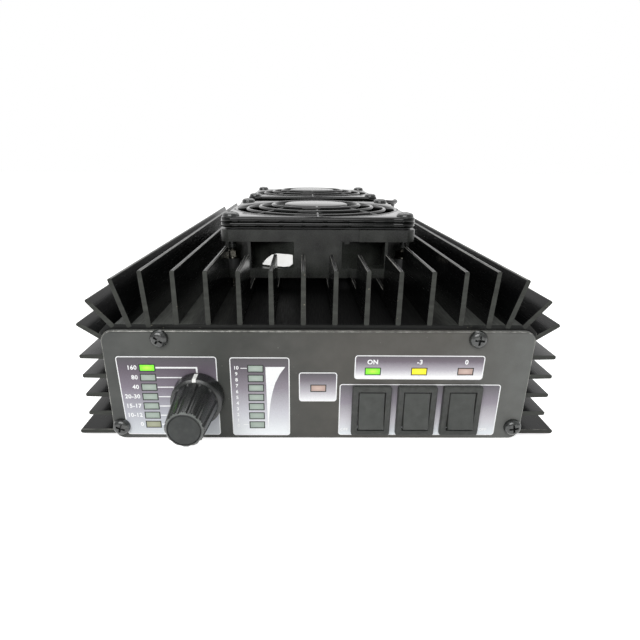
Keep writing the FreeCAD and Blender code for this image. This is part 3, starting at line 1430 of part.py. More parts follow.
def build():
    parts = {
        "heatsink": heatsink(),
        "bottom_cover": bottom_cover(),
        "bottom_cover_screws": bottom_cover_screws(),
        "front_panel": front_panel(),
        "front_film": front_film(),
        "rear_panel": rear_panel(),
        "panel_screws": panel_screws(),
        "band_lamps": lamps(band_lamp_places),
        "level_lamps": lamps(level_lamp_places),
        "status_lamps": lamps(status_lamp_places),
        "display_board": display_board(),
        "selector_body": selector_body(),
        "selector_nut": selector_nut(),
        "knob": knob(),
        "knob_pointer": knob_pointer(),
        "knob_cap": knob_cap(),
        "knob_shaft": knob_shaft(),
        "knob_grub_screw": knob_grub_screw(),
        "main_board": main_board(),
        "board_spacers": group(display_spacers() + main_board_spacers()),
        "power_transistors": power_transistors(),
        "transistor_clamp": transistor_clamp(),
        "clamp_screws": clamp_screws(),
        "rf_transformers": group([rf_core(output_core_y, output_core_scale),
                                  rf_core(input_core_y, input_core_scale)]),
        "band_relays": band_relays(),
        "filter_toroids": filter_toroids(),
        "supply_capacitors": supply_capacitors(),
        "socket_shells": group([socket_shell(x) for x in socket_x]),
        "socket_insulators": group([socket_insulator(x) for x in socket_x] + [jack_insulator()]),
        "socket_contacts": group([socket_contact(x) for x in socket_x]),
        "socket_screws": socket_screws(),
        "jack_shell": jack_shell(),
        "cable_gland": cable_gland(),
        "cable_gland_nut": cable_gland_nut(),
        "grommets": grommets(),
        "front_fan_lead": front_fan_lead(),
        "rear_fan_lead": rear_fan_lead(),
        "rf_coaxes": rf_coaxes(),
        "guard_screws": guard_screws(),
        "fan_studs": fan_studs(),
        "fan_spacers": fan_spacers(),
        "fan_nuts": fan_nuts(),
        "fan_label": fan_label(),
    }
    for name, x in zip(rocker_names, rocker_centres):
        parts[f"switch_housing_{name}"] = switch_housing(x)
        parts[f"rocker_{name}"] = rocker(x)
    for name, y in zip(fan_names, fan_centres):
        parts[f"fan_frame_{name}"] = fan_frame(y)
        parts[f"fan_stator_{name}"] = fan_stator(y)
        parts[f"fan_rotor_{name}"] = fan_rotor(y)
        parts[f"fan_guard_base_{name}"] = guard_base(y)
        parts[f"fan_guard_cover_{name}"] = guard_cover(y)
    return parts


os.makedirs("parts", exist_ok=True)
for node, shape in build().items():
    shape.exportStep(f"parts/{node}.step")
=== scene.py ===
import bmesh
import bpy
import math
from mathutils import Matrix, Vector


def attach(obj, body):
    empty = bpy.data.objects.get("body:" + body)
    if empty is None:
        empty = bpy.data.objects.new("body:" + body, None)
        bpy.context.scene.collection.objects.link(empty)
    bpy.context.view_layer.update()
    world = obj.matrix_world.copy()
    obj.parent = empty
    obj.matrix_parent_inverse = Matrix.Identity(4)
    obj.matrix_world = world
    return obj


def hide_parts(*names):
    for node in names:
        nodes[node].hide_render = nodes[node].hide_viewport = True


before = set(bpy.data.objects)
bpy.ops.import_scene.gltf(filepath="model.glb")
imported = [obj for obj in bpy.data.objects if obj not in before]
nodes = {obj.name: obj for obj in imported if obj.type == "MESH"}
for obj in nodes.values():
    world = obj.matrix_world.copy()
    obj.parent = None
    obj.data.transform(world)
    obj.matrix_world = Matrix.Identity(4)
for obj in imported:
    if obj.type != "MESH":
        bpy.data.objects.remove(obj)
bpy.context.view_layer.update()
mm = 0.001
sides = (-1, 1)
print("frame loaded:", len(nodes), "solids")


# nodes of any tree
def wire(tree, node, inputs):
    # links the sockets and sets the plain values
    for key, value in inputs.items():
        if isinstance(value, bpy.types.NodeSocket):
            tree.links.new(value, node.inputs[key])
        else:
            node.inputs[key].default_value = value


def addNode(tree, kind, inputs=None, **settings):
    node = tree.nodes.new(kind)
    for key, value in settings.items():
        setattr(node, key, value)
    wire(tree, node, inputs or {})
    return node


def shade(tree, kind, inputs=None, **settings):
    return addNode(tree, "ShaderNode" + kind, inputs, **settings).outputs[0]


def maths(tree, operation, *terms):
    return shade(tree, "Math", dict(enumerate(terms)), operation=operation)


def times(tree, a, b):
    return maths(tree, "MULTIPLY", a, b)


def axes(tree, vector):
    return addNode(tree, "ShaderNodeSeparateXYZ", {"Vector": vector}).outputs


def vectorOf(tree, x=0.0, y=0.0, z=0.0):
    return shade(tree, "CombineXYZ", {"X": x, "Y": y, "Z": z})


# colours and finishes
finishes = {}
toneStops = (0.3, 0.5, 0.7)  # where noise meets the three tones
sweepHalf, sweepWander = 80, 5  # mm


def tint(red, green, blue):
    # a colour as picked on screen, 0 to 255, turned into linear light
    def linear(part):
        part /= 255
        return part / 12.92 if part < 0.04045 else ((part + 0.055) / 1.055) ** 2.4
    return (linear(red), linear(green), linear(blue), 1)


def ramp(tree, factor, stops):
    node = addNode(tree, "ShaderNodeValToRGB", {"Fac": factor})
    bar = node.color_ramp.elements
    while len(bar) < len(stops):
        bar.new(0.5)
    for mark, (place, tone) in zip(bar, stops):
        mark.position = place
        mark.color = tint(*tone)
    return node.outputs["Color"]


def span(tree, value, low, high, start=0.3, end=0.7):
    return shade(tree, "MapRange", {
        "Value": value, "From Min": start, "From Max": end, "To Min": low, "To Max": high})


def mixed(tree, share, under, over):
    inputs = {"Factor": share, "A": under, "B": over}
    return addNode(tree, "ShaderNodeMix", inputs, data_type="RGBA").outputs["Result"]


def ownPlace(tree):
    return addNode(tree, "ShaderNodeTexCoord").outputs["Object"]


def objectNoise(tree, size, stretch=(1, 1, 1), detail=3.0):
    # noise whose blotches are about size millimetres across, on the object's own coordinates
    place = shade(tree, "Mapping", {"Vector": ownPlace(tree), "Scale": stretch})
    return shade(tree, "TexNoise", {
        "Vector": place, "Scale": 1 / (size * mm), "Detail": detail, "Roughness": 0.55})


def startFinish(name):
    material = finishes[name] = bpy.data.materials.new(name)
    material.use_nodes = True
    return material.node_tree, material.node_tree.nodes["Principled BSDF"]


def makeFinish(name, tones, blotch, fine, rough, depth, look):
    tree, shader = startFinish(name)
    stretch = look.get("stretch", (1, 1, 1))
    mottle = objectNoise(tree, blotch, stretch)
    grain = objectNoise(tree, fine, stretch, 2.0)
    colour = ramp(tree, mottle, list(zip(toneStops, tones)))
    # the sweep paints sheen and shade into the colour, across the object
    if "sweep" in look:  # the tone changes across the object, from left to right
        wander = span(tree, mottle, -sweepWander * mm, sweepWander * mm)
        across = maths(tree, "ADD", axes(tree, ownPlace(tree))["X"], wander)
        across = span(tree, across, 0, 1, -sweepHalf * mm, sweepHalf * mm)
        stops = [((x + sweepHalf) / (2 * sweepHalf), tone) for x, tone in look["sweep"]]
        colour = mixed(tree, span(tree, grain, 0, 0.5), ramp(tree, across, stops), colour)
    if "specks" in look:  # dust, chips and other small light marks
        size, share, tone = look["specks"]
        dust = span(tree, objectNoise(tree, size, detail=1.0), 0, 1, 1 - share, 1.02 - share)
        colour = mixed(tree, dust, colour, tint(*tone))
    bump = shade(tree, "Bump", {"Height": grain, "Strength": 0.5, "Distance": depth * mm})
    wire(tree, shader, {
        "Base Color": colour, "Roughness": span(tree, grain, *rough), "Normal": bump,
        "Metallic": look.get("metal", 0), "Specular IOR Level": look.get("gloss", 0.5),
        "Coat Weight": look.get("coat", 0), "Coat Roughness": 0.1})
    # the glow is painted light on a part that is no lamp
    if "glow" in look:
        wire(tree, shader, {"Emission Color": colour, "Emission Strength": look["glow"]})


finishLooks = {
    # tones from dark to light, blotch and grain size in mm, roughness, depth in mm, and the rest
    "blackAnodised": ([(7, 7, 8), (11, 12, 12), (17, 18, 18)], 9, 0.35, (0.18, 0.28), 0.01,
        {"stretch": (1, 0.05, 1), "gloss": 0.16}),
    # painted shade on the deck: darkest under the fans in the middle, with a painted sheen rising towards the
    # outer channels
    "deckBlack": ([(2, 2, 3), (4, 4, 5), (7, 7, 8)], 9, 0.35, (0.34, 0.5), 0.01,
        {"stretch": (1, 0.05, 1), "sweep": [(-72, (92, 94, 91)), (-46, (84, 86, 82)), (-37, (40, 41, 39)),
        (-28, (5, 5, 5)), (28, (4, 4, 4)), (37, (30, 31, 29)), (46, (70, 72, 69)), (72, (84, 86, 82))],
        "gloss": 0.04}),
    "sawnEnd": ([(38, 39, 36), (47, 49, 45), (58, 60, 56)], 1.5, 0.25, (0.42, 0.62), 0.03,
        {"stretch": (0.12, 1, 1), "gloss": 0.3, "specks": (0.9, 0.25, (128, 122, 106))}),
    # the deck's ends and edges: painted shade, darker than the sawn ends of the fins and flanges
    "deckEnd": ([(16, 17, 16), (23, 24, 23), (33, 34, 32)], 2.5, 0.25, (0.4, 0.6), 0.03,
        {"stretch": (0.12, 1, 1), "gloss": 0.2, "specks": (0.8, 0.24, (110, 106, 92))}),
    # the fin tips and the case's broken edges: a lighter tone as a painted highlight
    "finTipEdge": ([(66, 66, 63), (104, 104, 100), (152, 151, 145)], 2.2, 0.3, (0.26, 0.42), 0.02,
        {"stretch": (1, 0.2, 1), "metal": 0.25}),
    "bareEdge": ([(96, 96, 92), (150, 150, 144), (196, 196, 190)], 1.4, 0.3, (0.26, 0.44), 0.02,
        {"metal": 0.5}),
    "blackPlate": ([(24, 25, 25), (31, 32, 32), (38, 39, 39)], 8, 0.4, (0.4, 0.6), 0.03,
        {"specks": (1.2, 0.2, (80, 80, 78))}),
    # the sweep is darker between the band and output boxes and rises to the right as a painted sheen
    "panelPaint": ([(66, 66, 64), (80, 80, 77), (92, 92, 89)], 7, 0.2, (0.4, 0.54), 0.015,
        {"sweep": [(-72, (75, 77, 76)), (-60, (84, 86, 84)), (-48, (82, 84, 81)), (-36, (62, 64, 61)),
        (-28, (63, 64, 61)), (-10, (76, 76, 73)), (10, (83, 81, 77)), (40, (88, 86, 82)),
        (72, (105, 107, 105))], "gloss": 0.25, "specks": (0.8, 0.2, (124, 124, 120))}),
    "blackSteel": ([(24, 26, 25), (38, 40, 39), (58, 61, 59)], 1.8, 0.2, (0.18, 0.32), 0.015,
        {"metal": 0.1, "gloss": 0.8, "coat": 0.3}),
    "zincSteel": ([(108, 106, 98), (120, 118, 110), (134, 132, 124)], 3, 0.2, (0.1, 0.2), 0.01,
        {"metal": 1}),
    "greenBoard": ([(12, 56, 34), (18, 70, 44), (26, 84, 54)], 4, 0.4, (0.3, 0.5), 0.02, {"coat": 0.2}),
    "phenolic": ([(38, 22, 16), (50, 30, 22), (62, 38, 28)], 3, 0.3, (0.4, 0.6), 0.03, {}),
    "knobPlastic": ([(17, 19, 18), (21, 24, 23), (28, 31, 30)], 4, 0.16, (0.22, 0.36), 0.025,
        {"gloss": 0.7, "specks": (0.7, 0.2, (80, 82, 80))}),
    "capPlastic": ([(34, 37, 36), (41, 44, 43), (50, 53, 51)], 3, 0.14, (0.3, 0.44), 0.03,
        {"gloss": 0.4, "specks": (0.6, 0.22, (104, 106, 102))}),
    # the knob's front rim: a lighter tone as a painted highlight
    "rimPlastic": ([(84, 88, 85), (96, 100, 97), (110, 114, 111)], 3, 0.14, (0.24, 0.4), 0.02,
        {"gloss": 0.5, "specks": (0.6, 0.2, (140, 143, 139))}),
    "whitePaint": ([(228, 229, 226), (240, 241, 238), (250, 250, 248)], 1.5, 0.2, (0.45, 0.6), 0.02, {}),
    "brass": ([(176, 136, 62), (198, 160, 84), (214, 180, 108)], 2, 0.25, (0.22, 0.4), 0.015, {"metal": 1}),
    "ceramic": ([(206, 204, 196), (218, 216, 208), (228, 226, 220)], 2, 0.2, (0.4, 0.6), 0.02, {}),
    "ferrite": ([(34, 33, 35), (44, 43, 45), (54, 53, 55)], 1.5, 0.25, (0.6, 0.8), 0.05, {}),
    "powderIron": ([(150, 34, 26), (172, 44, 32), (188, 60, 44)], 1.6, 0.25, (0.4, 0.6), 0.04, {}),
    "sleeve": ([(24, 28, 52), (32, 37, 64), (42, 47, 76)], 3, 0.3, (0.25, 0.4), 0.015, {}),
    "nickel": ([(172, 171, 165), (184, 183, 178), (197, 196, 192)], 5, 0.3, (0.16, 0.28), 0.008,
        {"metal": 1}),
    "whitePlastic": ([(214, 212, 202), (226, 224, 216), (236, 234, 228)], 2, 0.25, (0.3, 0.5), 0.015, {}),
    "contactMetal": ([(186, 156, 88), (206, 180, 114), (222, 200, 140)], 1.5, 0.2, (0.2, 0.36), 0.01,
        {"metal": 1}),
    "glandPlastic": ([(26, 27, 27), (33, 34, 34), (41, 42, 42)], 3, 0.22, (0.4, 0.56), 0.03, {}),
    "softRubber": ([(22, 22, 22), (29, 29, 29), (38, 38, 37)], 2, 0.3, (0.6, 0.8), 0.04, {}),
    "leadSheath": ([(18, 18, 18), (25, 25, 25), (34, 34, 34)], 2.5, 0.3, (0.3, 0.45), 0.02, {"coat": 0.15}),
    "switchPlastic": ([(69, 71, 69), (74, 76, 74), (79, 81, 79)], 3, 0.12, (0.5, 0.66), 0.05,
        {"gloss": 0.25, "specks": (0.3, 0.2, (96, 98, 95))}),
    "bezelPlastic": ([(56, 57, 55), (63, 65, 63), (70, 71, 69)], 1.6, 0.14, (0.4, 0.56), 0.04,
        {"gloss": 0.3}),
    "fanPlastic": ([(26, 27, 26), (37, 39, 36), (50, 52, 49)], 7, 0.3, (0.2, 0.34), 0.02,
        {"gloss": 0.4, "specks": (1.2, 0.2, (84, 84, 80))}),
    "guardPlastic": ([(8, 9, 9), (13, 14, 13), (20, 22, 21)], 6, 0.4, (0.05, 0.13), 0.004,
        {"gloss": 0.3, "specks": (0.8, 0.2, (60, 61, 58))}),
    "copperWinding": ([(120, 52, 24), (150, 70, 34), (176, 92, 50)], 1, 0.2, (0.2, 0.4), 0.03,
        {"metal": 0.8}),
    # the glow makes the label brighter than white paper: painted light
    "labelPaper": ([(240, 240, 236), (247, 247, 245), (252, 252, 251)], 2, 0.15, (0.5, 0.7), 0.02,
        {"glow": 0.3}),
    "printWhite": ([(240, 241, 242), (247, 248, 249), (252, 253, 253)], 0.9, 0.1, (0.4, 0.55), 0.01,
        {"gloss": 0.35}),
    # the dark rims round the lamp lenses: printed outline and painted shade of the gap round each lens
    "printBlack": ([(40, 42, 40), (50, 53, 50), (60, 63, 60)], 0.6, 0.1, (0.45, 0.6), 0.01, {"gloss": 0.3}),
}
for name, look in finishLooks.items():
    makeFinish(name, *look)

finishNodes = {
    # a name that ends in _ stands for all that begin with it
    "blackAnodised": ["heatsink"],
    "blackPlate": ["bottom_cover", "rear_panel"],
    "blackSteel": ["bottom_cover_screws", "panel_screws", "knob_grub_screw", "guard_screws"],
    "panelPaint": ["front_panel", "front_film"],
    "whitePlastic": ["band_lamps", "level_lamps", "status_lamps", "socket_insulators"],
    "greenBoard": ["display_board", "main_board"],
    "brass": ["board_spacers"],
    "phenolic": ["selector_body"],
    "nickel": ["selector_nut", "socket_shells", "socket_screws", "jack_shell"],
    "knobPlastic": ["knob"],
    "whitePaint": ["knob_pointer"],
    "capPlastic": ["knob_cap"],
    "zincSteel": ["knob_shaft", "transistor_clamp", "clamp_screws", "fan_studs", "fan_nuts"],
    "ceramic": ["power_transistors"],
    "ferrite": ["rf_transformers"],
    "glandPlastic": ["band_relays", "cable_gland", "cable_gland_nut", "fan_spacers"],
    "powderIron": ["filter_toroids"],
    "sleeve": ["supply_capacitors"],
    "contactMetal": ["socket_contacts"],
    "softRubber": ["grommets"],
    "leadSheath": ["front_fan_lead", "rear_fan_lead", "rf_coaxes"],
    "labelPaper": ["fan_label"],
    "bezelPlastic": ["switch_housing_"],
    "switchPlastic": ["rocker_"],
    "fanPlastic": ["fan_frame_", "fan_rotor_"],
    "copperWinding": ["fan_stator_"],
    "guardPlastic": ["fan_guard_base_", "fan_guard_cover_"],
}


def finishOf(node):
    for finish, names in finishNodes.items():
        for name in names:
            if node == name or name[-1] == "_" and node.startswith(name):
                return finish


for name, obj in nodes.items():
    obj.data.materials.clear()
    obj.data.materials.append(finishes[finishOf(name)])
print("finishes made:", len(finishes))

# mesh helpers
weldReach = 2e-6  # m
flatAngle, sharpAngle = math.radians(0.4), math.radians(30)


def link(obj):
    bpy.context.scene.collection.objects.link(obj)


def addPiece(name, mesh, stands=(), body="chassis"):
    piece = bpy.data.objects.new(name, mesh)
    link(piece)
    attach(piece, body)
    if stands:
        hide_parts(*stands)
    return piece


def smoothed(mesh, angle):
    mesh.shade_smooth()
    mesh.set_sharp_from_angle(angle=math.radians(angle))
    return mesh


def meshOf(name, bm, *finishNames, smooth=30.0):
    mesh = bpy.data.meshes.new(name)
    bm.to_mesh(mesh)
    bm.free()
    for finish in finishNames:
        mesh.materials.append(finishes[finish])
    return smoothed(mesh, smooth)


def skin(bm, rings):
    # faces from each closed ring of vertices to the next
    faces = []
    for near, far in zip(rings, rings[1:]):
        for i in range(len(near)):
            j = (i + 1) % len(near)
            faces.append(bm.faces.new((near[i], near[j], far[j], far[i])))
    return faces


def turnForward(faces):
    for face in faces:
        face.normal_update()
        if face.normal.y > 0:
            face.normal_flip()


def bevelledCopy(node, width, body="chassis", edge=None, segments=2):
    # a copy of a solid whose sharp edges are broken, in the edge finish where it has one
    bm = bmesh.new()
    bm.from_mesh(nodes[node].data)
    bmesh.ops.remove_doubles(bm, verts=bm.verts, dist=weldReach)
    bmesh.ops.dissolve_limit(bm, angle_limit=flatAngle, verts=bm.verts, edges=bm.edges)
    sharp = [e for e in bm.edges if len(e.link_faces) == 2 and e.calc_face_angle(0) > sharpAngle]
    bmesh.ops.bevel(bm, geom=sharp, offset=width * mm, segments=segments, profile=0.5, affect="EDGES",
                    clamp_overlap=True, material=1 if edge else -1)
    mesh = meshOf(node + "_dressed", bm, finishOf(node), *([edge] if edge else []))
    return addPiece(node + "_dressed", mesh, [node], body)


# geometry node trees
def geo(tree, kind, inputs=None, **settings):
    return addNode(tree, "GeometryNode" + kind, inputs, **settings).outputs[0]


def startTree(name, floats, vectors=(), materials=("Finish",)):
    tree = bpy.data.node_groups.new(name, "GeometryNodeTree")
    socket = tree.interface.new_socket
    socket("Geometry", in_out="INPUT", socket_type="NodeSocketGeometry")
    for kind, labels in (("Float", floats), ("Vector", vectors), ("Material", materials)):
        for label in labels:
            socket(label, in_out="INPUT", socket_type="NodeSocket" + kind)
    socket("Geometry", in_out="OUTPUT", socket_type="NodeSocketGeometry")
    return tree, tree.nodes.new("NodeGroupInput").outputs


def endTree(tree, geometry):
    wire(tree, tree.nodes.new("NodeGroupOutput"), {"Geometry": geometry})
    return tree


def endInstances(tree, instances, finish):
    whole = geo(tree, "RealizeInstances", {"Geometry": instances})
    return endTree(tree, geo(tree, "SetMaterial", {"Geometry": whole, "Material": finish}))


def joined(tree, *parts):
    join = addNode(tree, "GeometryNodeJoinGeometry")
    for part in parts:
        tree.links.new(part, join.inputs[0])
    return join.outputs[0]


def compare(tree, a, b, operation="GREATER_THAN"):
    return addNode(tree, "FunctionNodeCompare", {"A": a, "B": b}, operation=operation).outputs["Result"]


def attribute(tree, name, kind="FLOAT"):
    inputs = {"Name": name}
    return addNode(tree, "GeometryNodeInputNamedAttribute", inputs, data_type=kind).outputs["Attribute"]


def store(tree, geometry, name, value, domain):
    inputs = {"Geometry": geometry, "Name": name, "Value": value}
    return geo(tree, "StoreNamedAttribute", inputs, data_type="FLOAT", domain=domain)


def pointCloud(name, rows, **fields):
    # a mesh of loose points, with one value of each field for every point
    mesh = bpy.data.meshes.new(name)
    mesh.from_pydata([tuple(v * mm for v in row) for row in rows], [], [])
    for key, values in fields.items():
        isVector = isinstance(values[0], tuple)
        layer = mesh.attributes.new(key, "FLOAT_VECTOR" if isVector else "FLOAT", "POINT")
        for slot, value in zip(layer.data, values):
            setattr(slot, "vector" if isVector else "value", value)
    return mesh


def growPiece(name, tree, points, values, stands=(), smooth=30.0):
    # runs the tree on the points and keeps the result as a plain mesh
    # values: numbers are mm, words are finishes
    source = bpy.data.objects.new(name, points)
    link(source)
    modifier = source.modifiers.new(name, "NODES")
    modifier.node_group = tree
    for item in tree.interface.items_tree:
        if item.in_out == "INPUT" and item.name in values:
            value = values[item.name]
            if isinstance(value, str):
                value = finishes[value]
            elif isinstance(value, float):
                value = value * mm
            modifier[item.identifier] = value
    evaluated = source.evaluated_get(bpy.context.evaluated_depsgraph_get())
    mesh = bpy.data.meshes.new_from_object(evaluated)
    source.modifiers.clear()
    bpy.data.objects.remove(source)
    return addPiece(name, smoothed(mesh, smooth), stands)


# finned case
caseShape = {
    "length": 250.0, "wallHalf": 72.8, "flangeTip": 85.0, "flangeFoot": 1.15, "flangeTop": 2.85,
    "flangeNose": 0.5, "deckTop": 42.3, "deckBottom": 35.3, "chamfer": 2.6, "wallInner": 70.0,
    "footInner": 71.5, "lugInner": 65.0, "coverLedge": 2.1, "lugTop": 7.5, "edgeBreak": 0.15,
    "deckEnd": [(-72.6, 36.5), (72.6, 36.5), (72.6, 39.6), (70.1, 42.15), (-70.1, 42.15), (-72.6, 39.6)],
    "endLift": 0.004, "shadeSlack": (0.1, 0.2), "levelUp": 0.95, "endFacing": 0.9, "tipFacing": 0.3,
    "finPitch": 10.45, "finPairs": 5, "finTop": 60.2, "finTip": 1.4, "finRoot": 1.75, "finRound": 0.5,
    "finSection": 10.0, "finSink": 0.15, "leanSink": 1.1, "finProud": 0.01,
    # each leaning fin's tip and root
    "splay": [((57.45, 60.2), (56.35, 42.3)), ((67.2, 57.6), (62.9, 42.3)), ((75.7, 50.65), (68.7, 42.3)),
              ((79.9, 42.5), (72.8, 37.9))],
    "sideReach": 80.8, "sideHeights": [9.45, 16.57, 23.69, 30.81],
    "pockets": [(-76.5, 6.3), (37.3, 120.1)], "pocketFloor": 46.6, "pocketSides": (-40.6, 42.2),
    "intakeFront": -95.5, "intakeHalf": 31.35,
}


def caseShell(c):
    tip, nose = c["flangeTip"], c["flangeNose"]
    right = [(c["footInner"], c["flangeFoot"]), (tip - nose, c["flangeFoot"]), (tip, c["flangeFoot"] + nose),
             (tip, c["flangeTop"] - nose), (tip - nose, c["flangeTop"]), (c["wallHalf"], c["flangeTop"]),
             (c["wallHalf"], c["deckTop"] - c["chamfer"]), (c["wallHalf"] - c["chamfer"], c["deckTop"])]
    inner = [(-c["footInner"], c["coverLedge"]), (-c["lugInner"], c["coverLedge"]),
             (-c["lugInner"], c["lugTop"]), (-c["wallInner"], c["lugTop"]),
             (-c["wallInner"], c["deckBottom"])]
    outline = right + [(-x, z) for x, z in reversed(right)] + inner + [(-x, z) for x, z in reversed(inner)]
    bm = bmesh.new()
    half = c["length"] / 2
    rings = [[bm.verts.new((x * mm, y * mm, z * mm)) for x, z in outline] for y in (-half, half)]
    skin(bm, rings)
    for ring in rings:
        bm.faces.new(ring).material_index = 1
    bmesh.ops.recalc_face_normals(bm, faces=bm.faces)
    bmesh.ops.bevel(bm, geom=bm.edges[:], offset=c["edgeBreak"] * mm, segments=2, affect="EDGES", material=2)
    # painted shade on the deck between the fins, with painted sheen in the outer channels; its ends and edges
    # get painted shade, darker than the flanges'
    for face in bm.faces:
        middle = face.calc_center_median() / mm
        low, wide = c["deckTop"] - c["chamfer"] - c["shadeSlack"][1], c["wallHalf"] + c["shadeSlack"][0]
        if middle.z > low and abs(middle.x) < wide:
            face.material_index = 4 if face.normal.z > c["levelUp"] else 3
    # a dark sheet just in front of each end of the deck: painted shade
    for side in sides:
        y = side * (half + c["endLift"]) * mm
        strip = bm.faces.new([bm.verts.new((x * mm, y, z * mm)) for x, z in c["deckEnd"]])
        strip.normal_update()
        if strip.normal.y * side < 0:
            strip.normal_flip()
        strip.material_index = 3
    mesh = meshOf("caseShell", bm, "blackAnodised", "sawnEnd", "finTipEdge", "deckEnd", "deckBlack")
    addPiece("case_shell", mesh, ["heatsink"])


def finTree(c):
    # one section, swept along on every point, then drawn out to that fin's own reach
    tree, value = startTree("caseFins", (
        "Tip Thickness", "Root Thickness", "Section Height", "Tip Round"), (),
        ("Side Finish", "End Finish", "Tip Finish"))
    section = geo(tree, "CurvePrimitiveQuadrilateral", {
        "Bottom Width": value["Root Thickness"], "Top Width": value["Tip Thickness"],
        "Height": value["Section Height"], "Offset": 0.0}, mode="TRAPEZOID")
    section = geo(tree, "FilletCurve", {
        "Curve": section, "Radius": value["Tip Round"], "Count": 3, "Limit Radius": True}, mode="POLY")
    flat = geo(tree, "FillCurve", {"Curve": section}, mode="NGONS")
    lift = times(tree, value["Section Height"], 0.5)
    stood = geo(tree, "Transform", {"Geometry": flat, "Translation": vectorOf(tree, y=lift)})
    stood = geo(tree, "Transform", {
        "Geometry": stood, "Translation": (0.0, 1.0, 0.0), "Rotation": (math.pi / 2, 0.0, 0.0)})
    run = geo(tree, "ExtrudeMesh", {"Mesh": stood, "Offset Scale": 1.0, "Individual": False})
    back = geo(tree, "FlipFaces", {"Mesh": stood})
    bar = geo(tree, "MergeByDistance", {"Geometry": joined(tree, back, run), "Distance": 1e-6})
    # marks: the sawn ends are 1, the tip's rounded corners are 2
    facing = axes(tree, geo(tree, "InputNormal"))
    isEnd = compare(tree, maths(tree, "ABSOLUTE", facing["Y"]), c["endFacing"])
    isHigh = compare(tree, facing["Z"], c["tipFacing"])
    notFlat = compare(tree, facing["Z"], c["levelUp"], "LESS_THAN")
    marks = maths(tree, "ADD", isEnd, times(tree, times(tree, isHigh, notFlat), 2.0))
    bar = store(tree, bar, "finPart", marks, "FACE")
    height = axes(tree, geo(tree, "InputPosition"))["Z"]
    bar = store(tree, bar, "finOuter", compare(tree, height, lift), "POINT")
    placed = geo(tree, "InstanceOnPoints", {
        "Points": value["Geometry"], "Instance": bar,
        "Rotation": vectorOf(tree, y=attribute(tree, "finTilt")),
        "Scale": vectorOf(tree, 1.0, attribute(tree, "finLength"), 1.0)})
    whole = geo(tree, "RealizeInstances", {"Geometry": placed})
    draw = maths(tree, "SUBTRACT", attribute(tree, "finReach"), value["Section Height"])
    draw = times(tree, draw, attribute(tree, "finOuter"))
    x, z = (times(tree, draw, maths(tree, kind, attribute(tree, "finTilt"))) for kind in ("SINE", "COSINE"))
    whole = geo(tree, "SetPosition", {"Geometry": whole, "Offset": vectorOf(tree, x, 0.0, z)})
    whole = geo(tree, "SetMaterial", {"Geometry": whole, "Material": value["Side Finish"]})
    for mark, label in ((0.5, "End Finish"), (1.5, "Tip Finish")):
        chosen = compare(tree, attribute(tree, "finPart"), mark)
        whole = geo(tree, "SetMaterial", {"Geometry": whole, "Selection": chosen, "Material": value[label]})
    return endTree(tree, whole)


def makeFins(c):
    # every fin's sunk root, length, full reach and lean
    rows, lengths, reaches, tilts = [], [], [], []
    half = c["length"] / 2 + c["finProud"]

    def addFin(x, z, tipX, tipZ, y0=-half, y1=half, sink=c["finSink"]):
        tilt = math.atan2(tipX - x, tipZ - z)
        rows.append((x - sink * math.sin(tilt), y0, z - sink * math.cos(tilt)))
        lengths.append((y1 - y0) * mm)
        reaches.append((math.hypot(tipX - x, tipZ - z) + sink) * mm)
        tilts.append(tilt)

    for side in sides:
        for i in range(c["finPairs"]):
            x = side * (i + 0.5) * c["finPitch"]
            if not c["pocketSides"][0] < x < c["pocketSides"][1]:
                addFin(x, c["deckTop"], x, c["finTop"])
                continue
            start = -half
            for low, high in c["pockets"]:
                if abs(x) < c["intakeHalf"] and low == c["pockets"][0][0]:
                    low = c["intakeFront"]
                addFin(x, c["deckTop"], x, c["finTop"], start, low)
                addFin(x, c["deckTop"], x, c["pocketFloor"], low, high)
                start = high
            addFin(x, c["deckTop"], x, c["finTop"], start)
        for tip, root in c["splay"]:
            addFin(side * root[0], root[1], side * tip[0], tip[1], sink=c["leanSink"])
        for z in c["sideHeights"]:
            addFin(side * c["wallHalf"], z, side * c["sideReach"], z)
    points = pointCloud("finPoints", rows, finLength=lengths, finReach=reaches, finTilt=tilts)
    growPiece("case_fins", finTree(c), points, {
        "Tip Thickness": c["finTip"], "Root Thickness": c["finRoot"], "Section Height": c["finSection"],
        "Tip Round": c["finRound"], "Side Finish": "blackAnodised", "End Finish": "sawnEnd",
        "Tip Finish": "finTipEdge"}, ["heatsink"])


caseShell(caseShape)
makeFins(caseShape)
print("case done")

# panels, switches and knob: broken edges
bevelledCopy("front_panel", 0.25, edge="bareEdge")
bevelledCopy("rear_panel", 0.25)
for place in ("power", "attenuator", "delay"):
    bevelledCopy("switch_housing_" + place, 0.2)
    bevelledCopy("rocker_" + place, 0.3, place + "_rocker", segments=3)

# band knob
knobShape = {
    "x": -41.1, "z": 17.11, "bevel": 0.3, "capBevel": 0.25, "rimRadius": 5.45, "rimFront": -149.85,
    "pointerWide": 1.3, "pointerProud": 0.04,
}


def makeKnob(p):
    knob = bevelledCopy("knob", p["bevel"], "band_knob", segments=3).data
    knob.materials.append(finishes["rimPlastic"])
    for face in knob.polygons:  # the front rim is lighter: a painted highlight
        x, y, z = face.center / mm
        if p["rimFront"] > y and math.hypot(x - p["x"], z - p["z"]) > p["rimRadius"]:
            face.material_index = 1
    bevelledCopy("knob_cap", p["capBevel"], "band_knob", segments=3)
    pointer = nodes["knob_pointer"].data.copy()
    pointer.transform(Matrix.Translation((p["x"] * mm, 0, p["pointerProud"] * mm))
                      @ Matrix.Scale(p["pointerWide"], 4, (1, 0, 0))
                      @ Matrix.Translation((-p["x"] * mm, 0, 0)))
    addPiece("knob_pointer_dressed", pointer, ["knob_pointer"], "band_knob")


makeKnob(knobShape)
print("panels, switches and knob done")

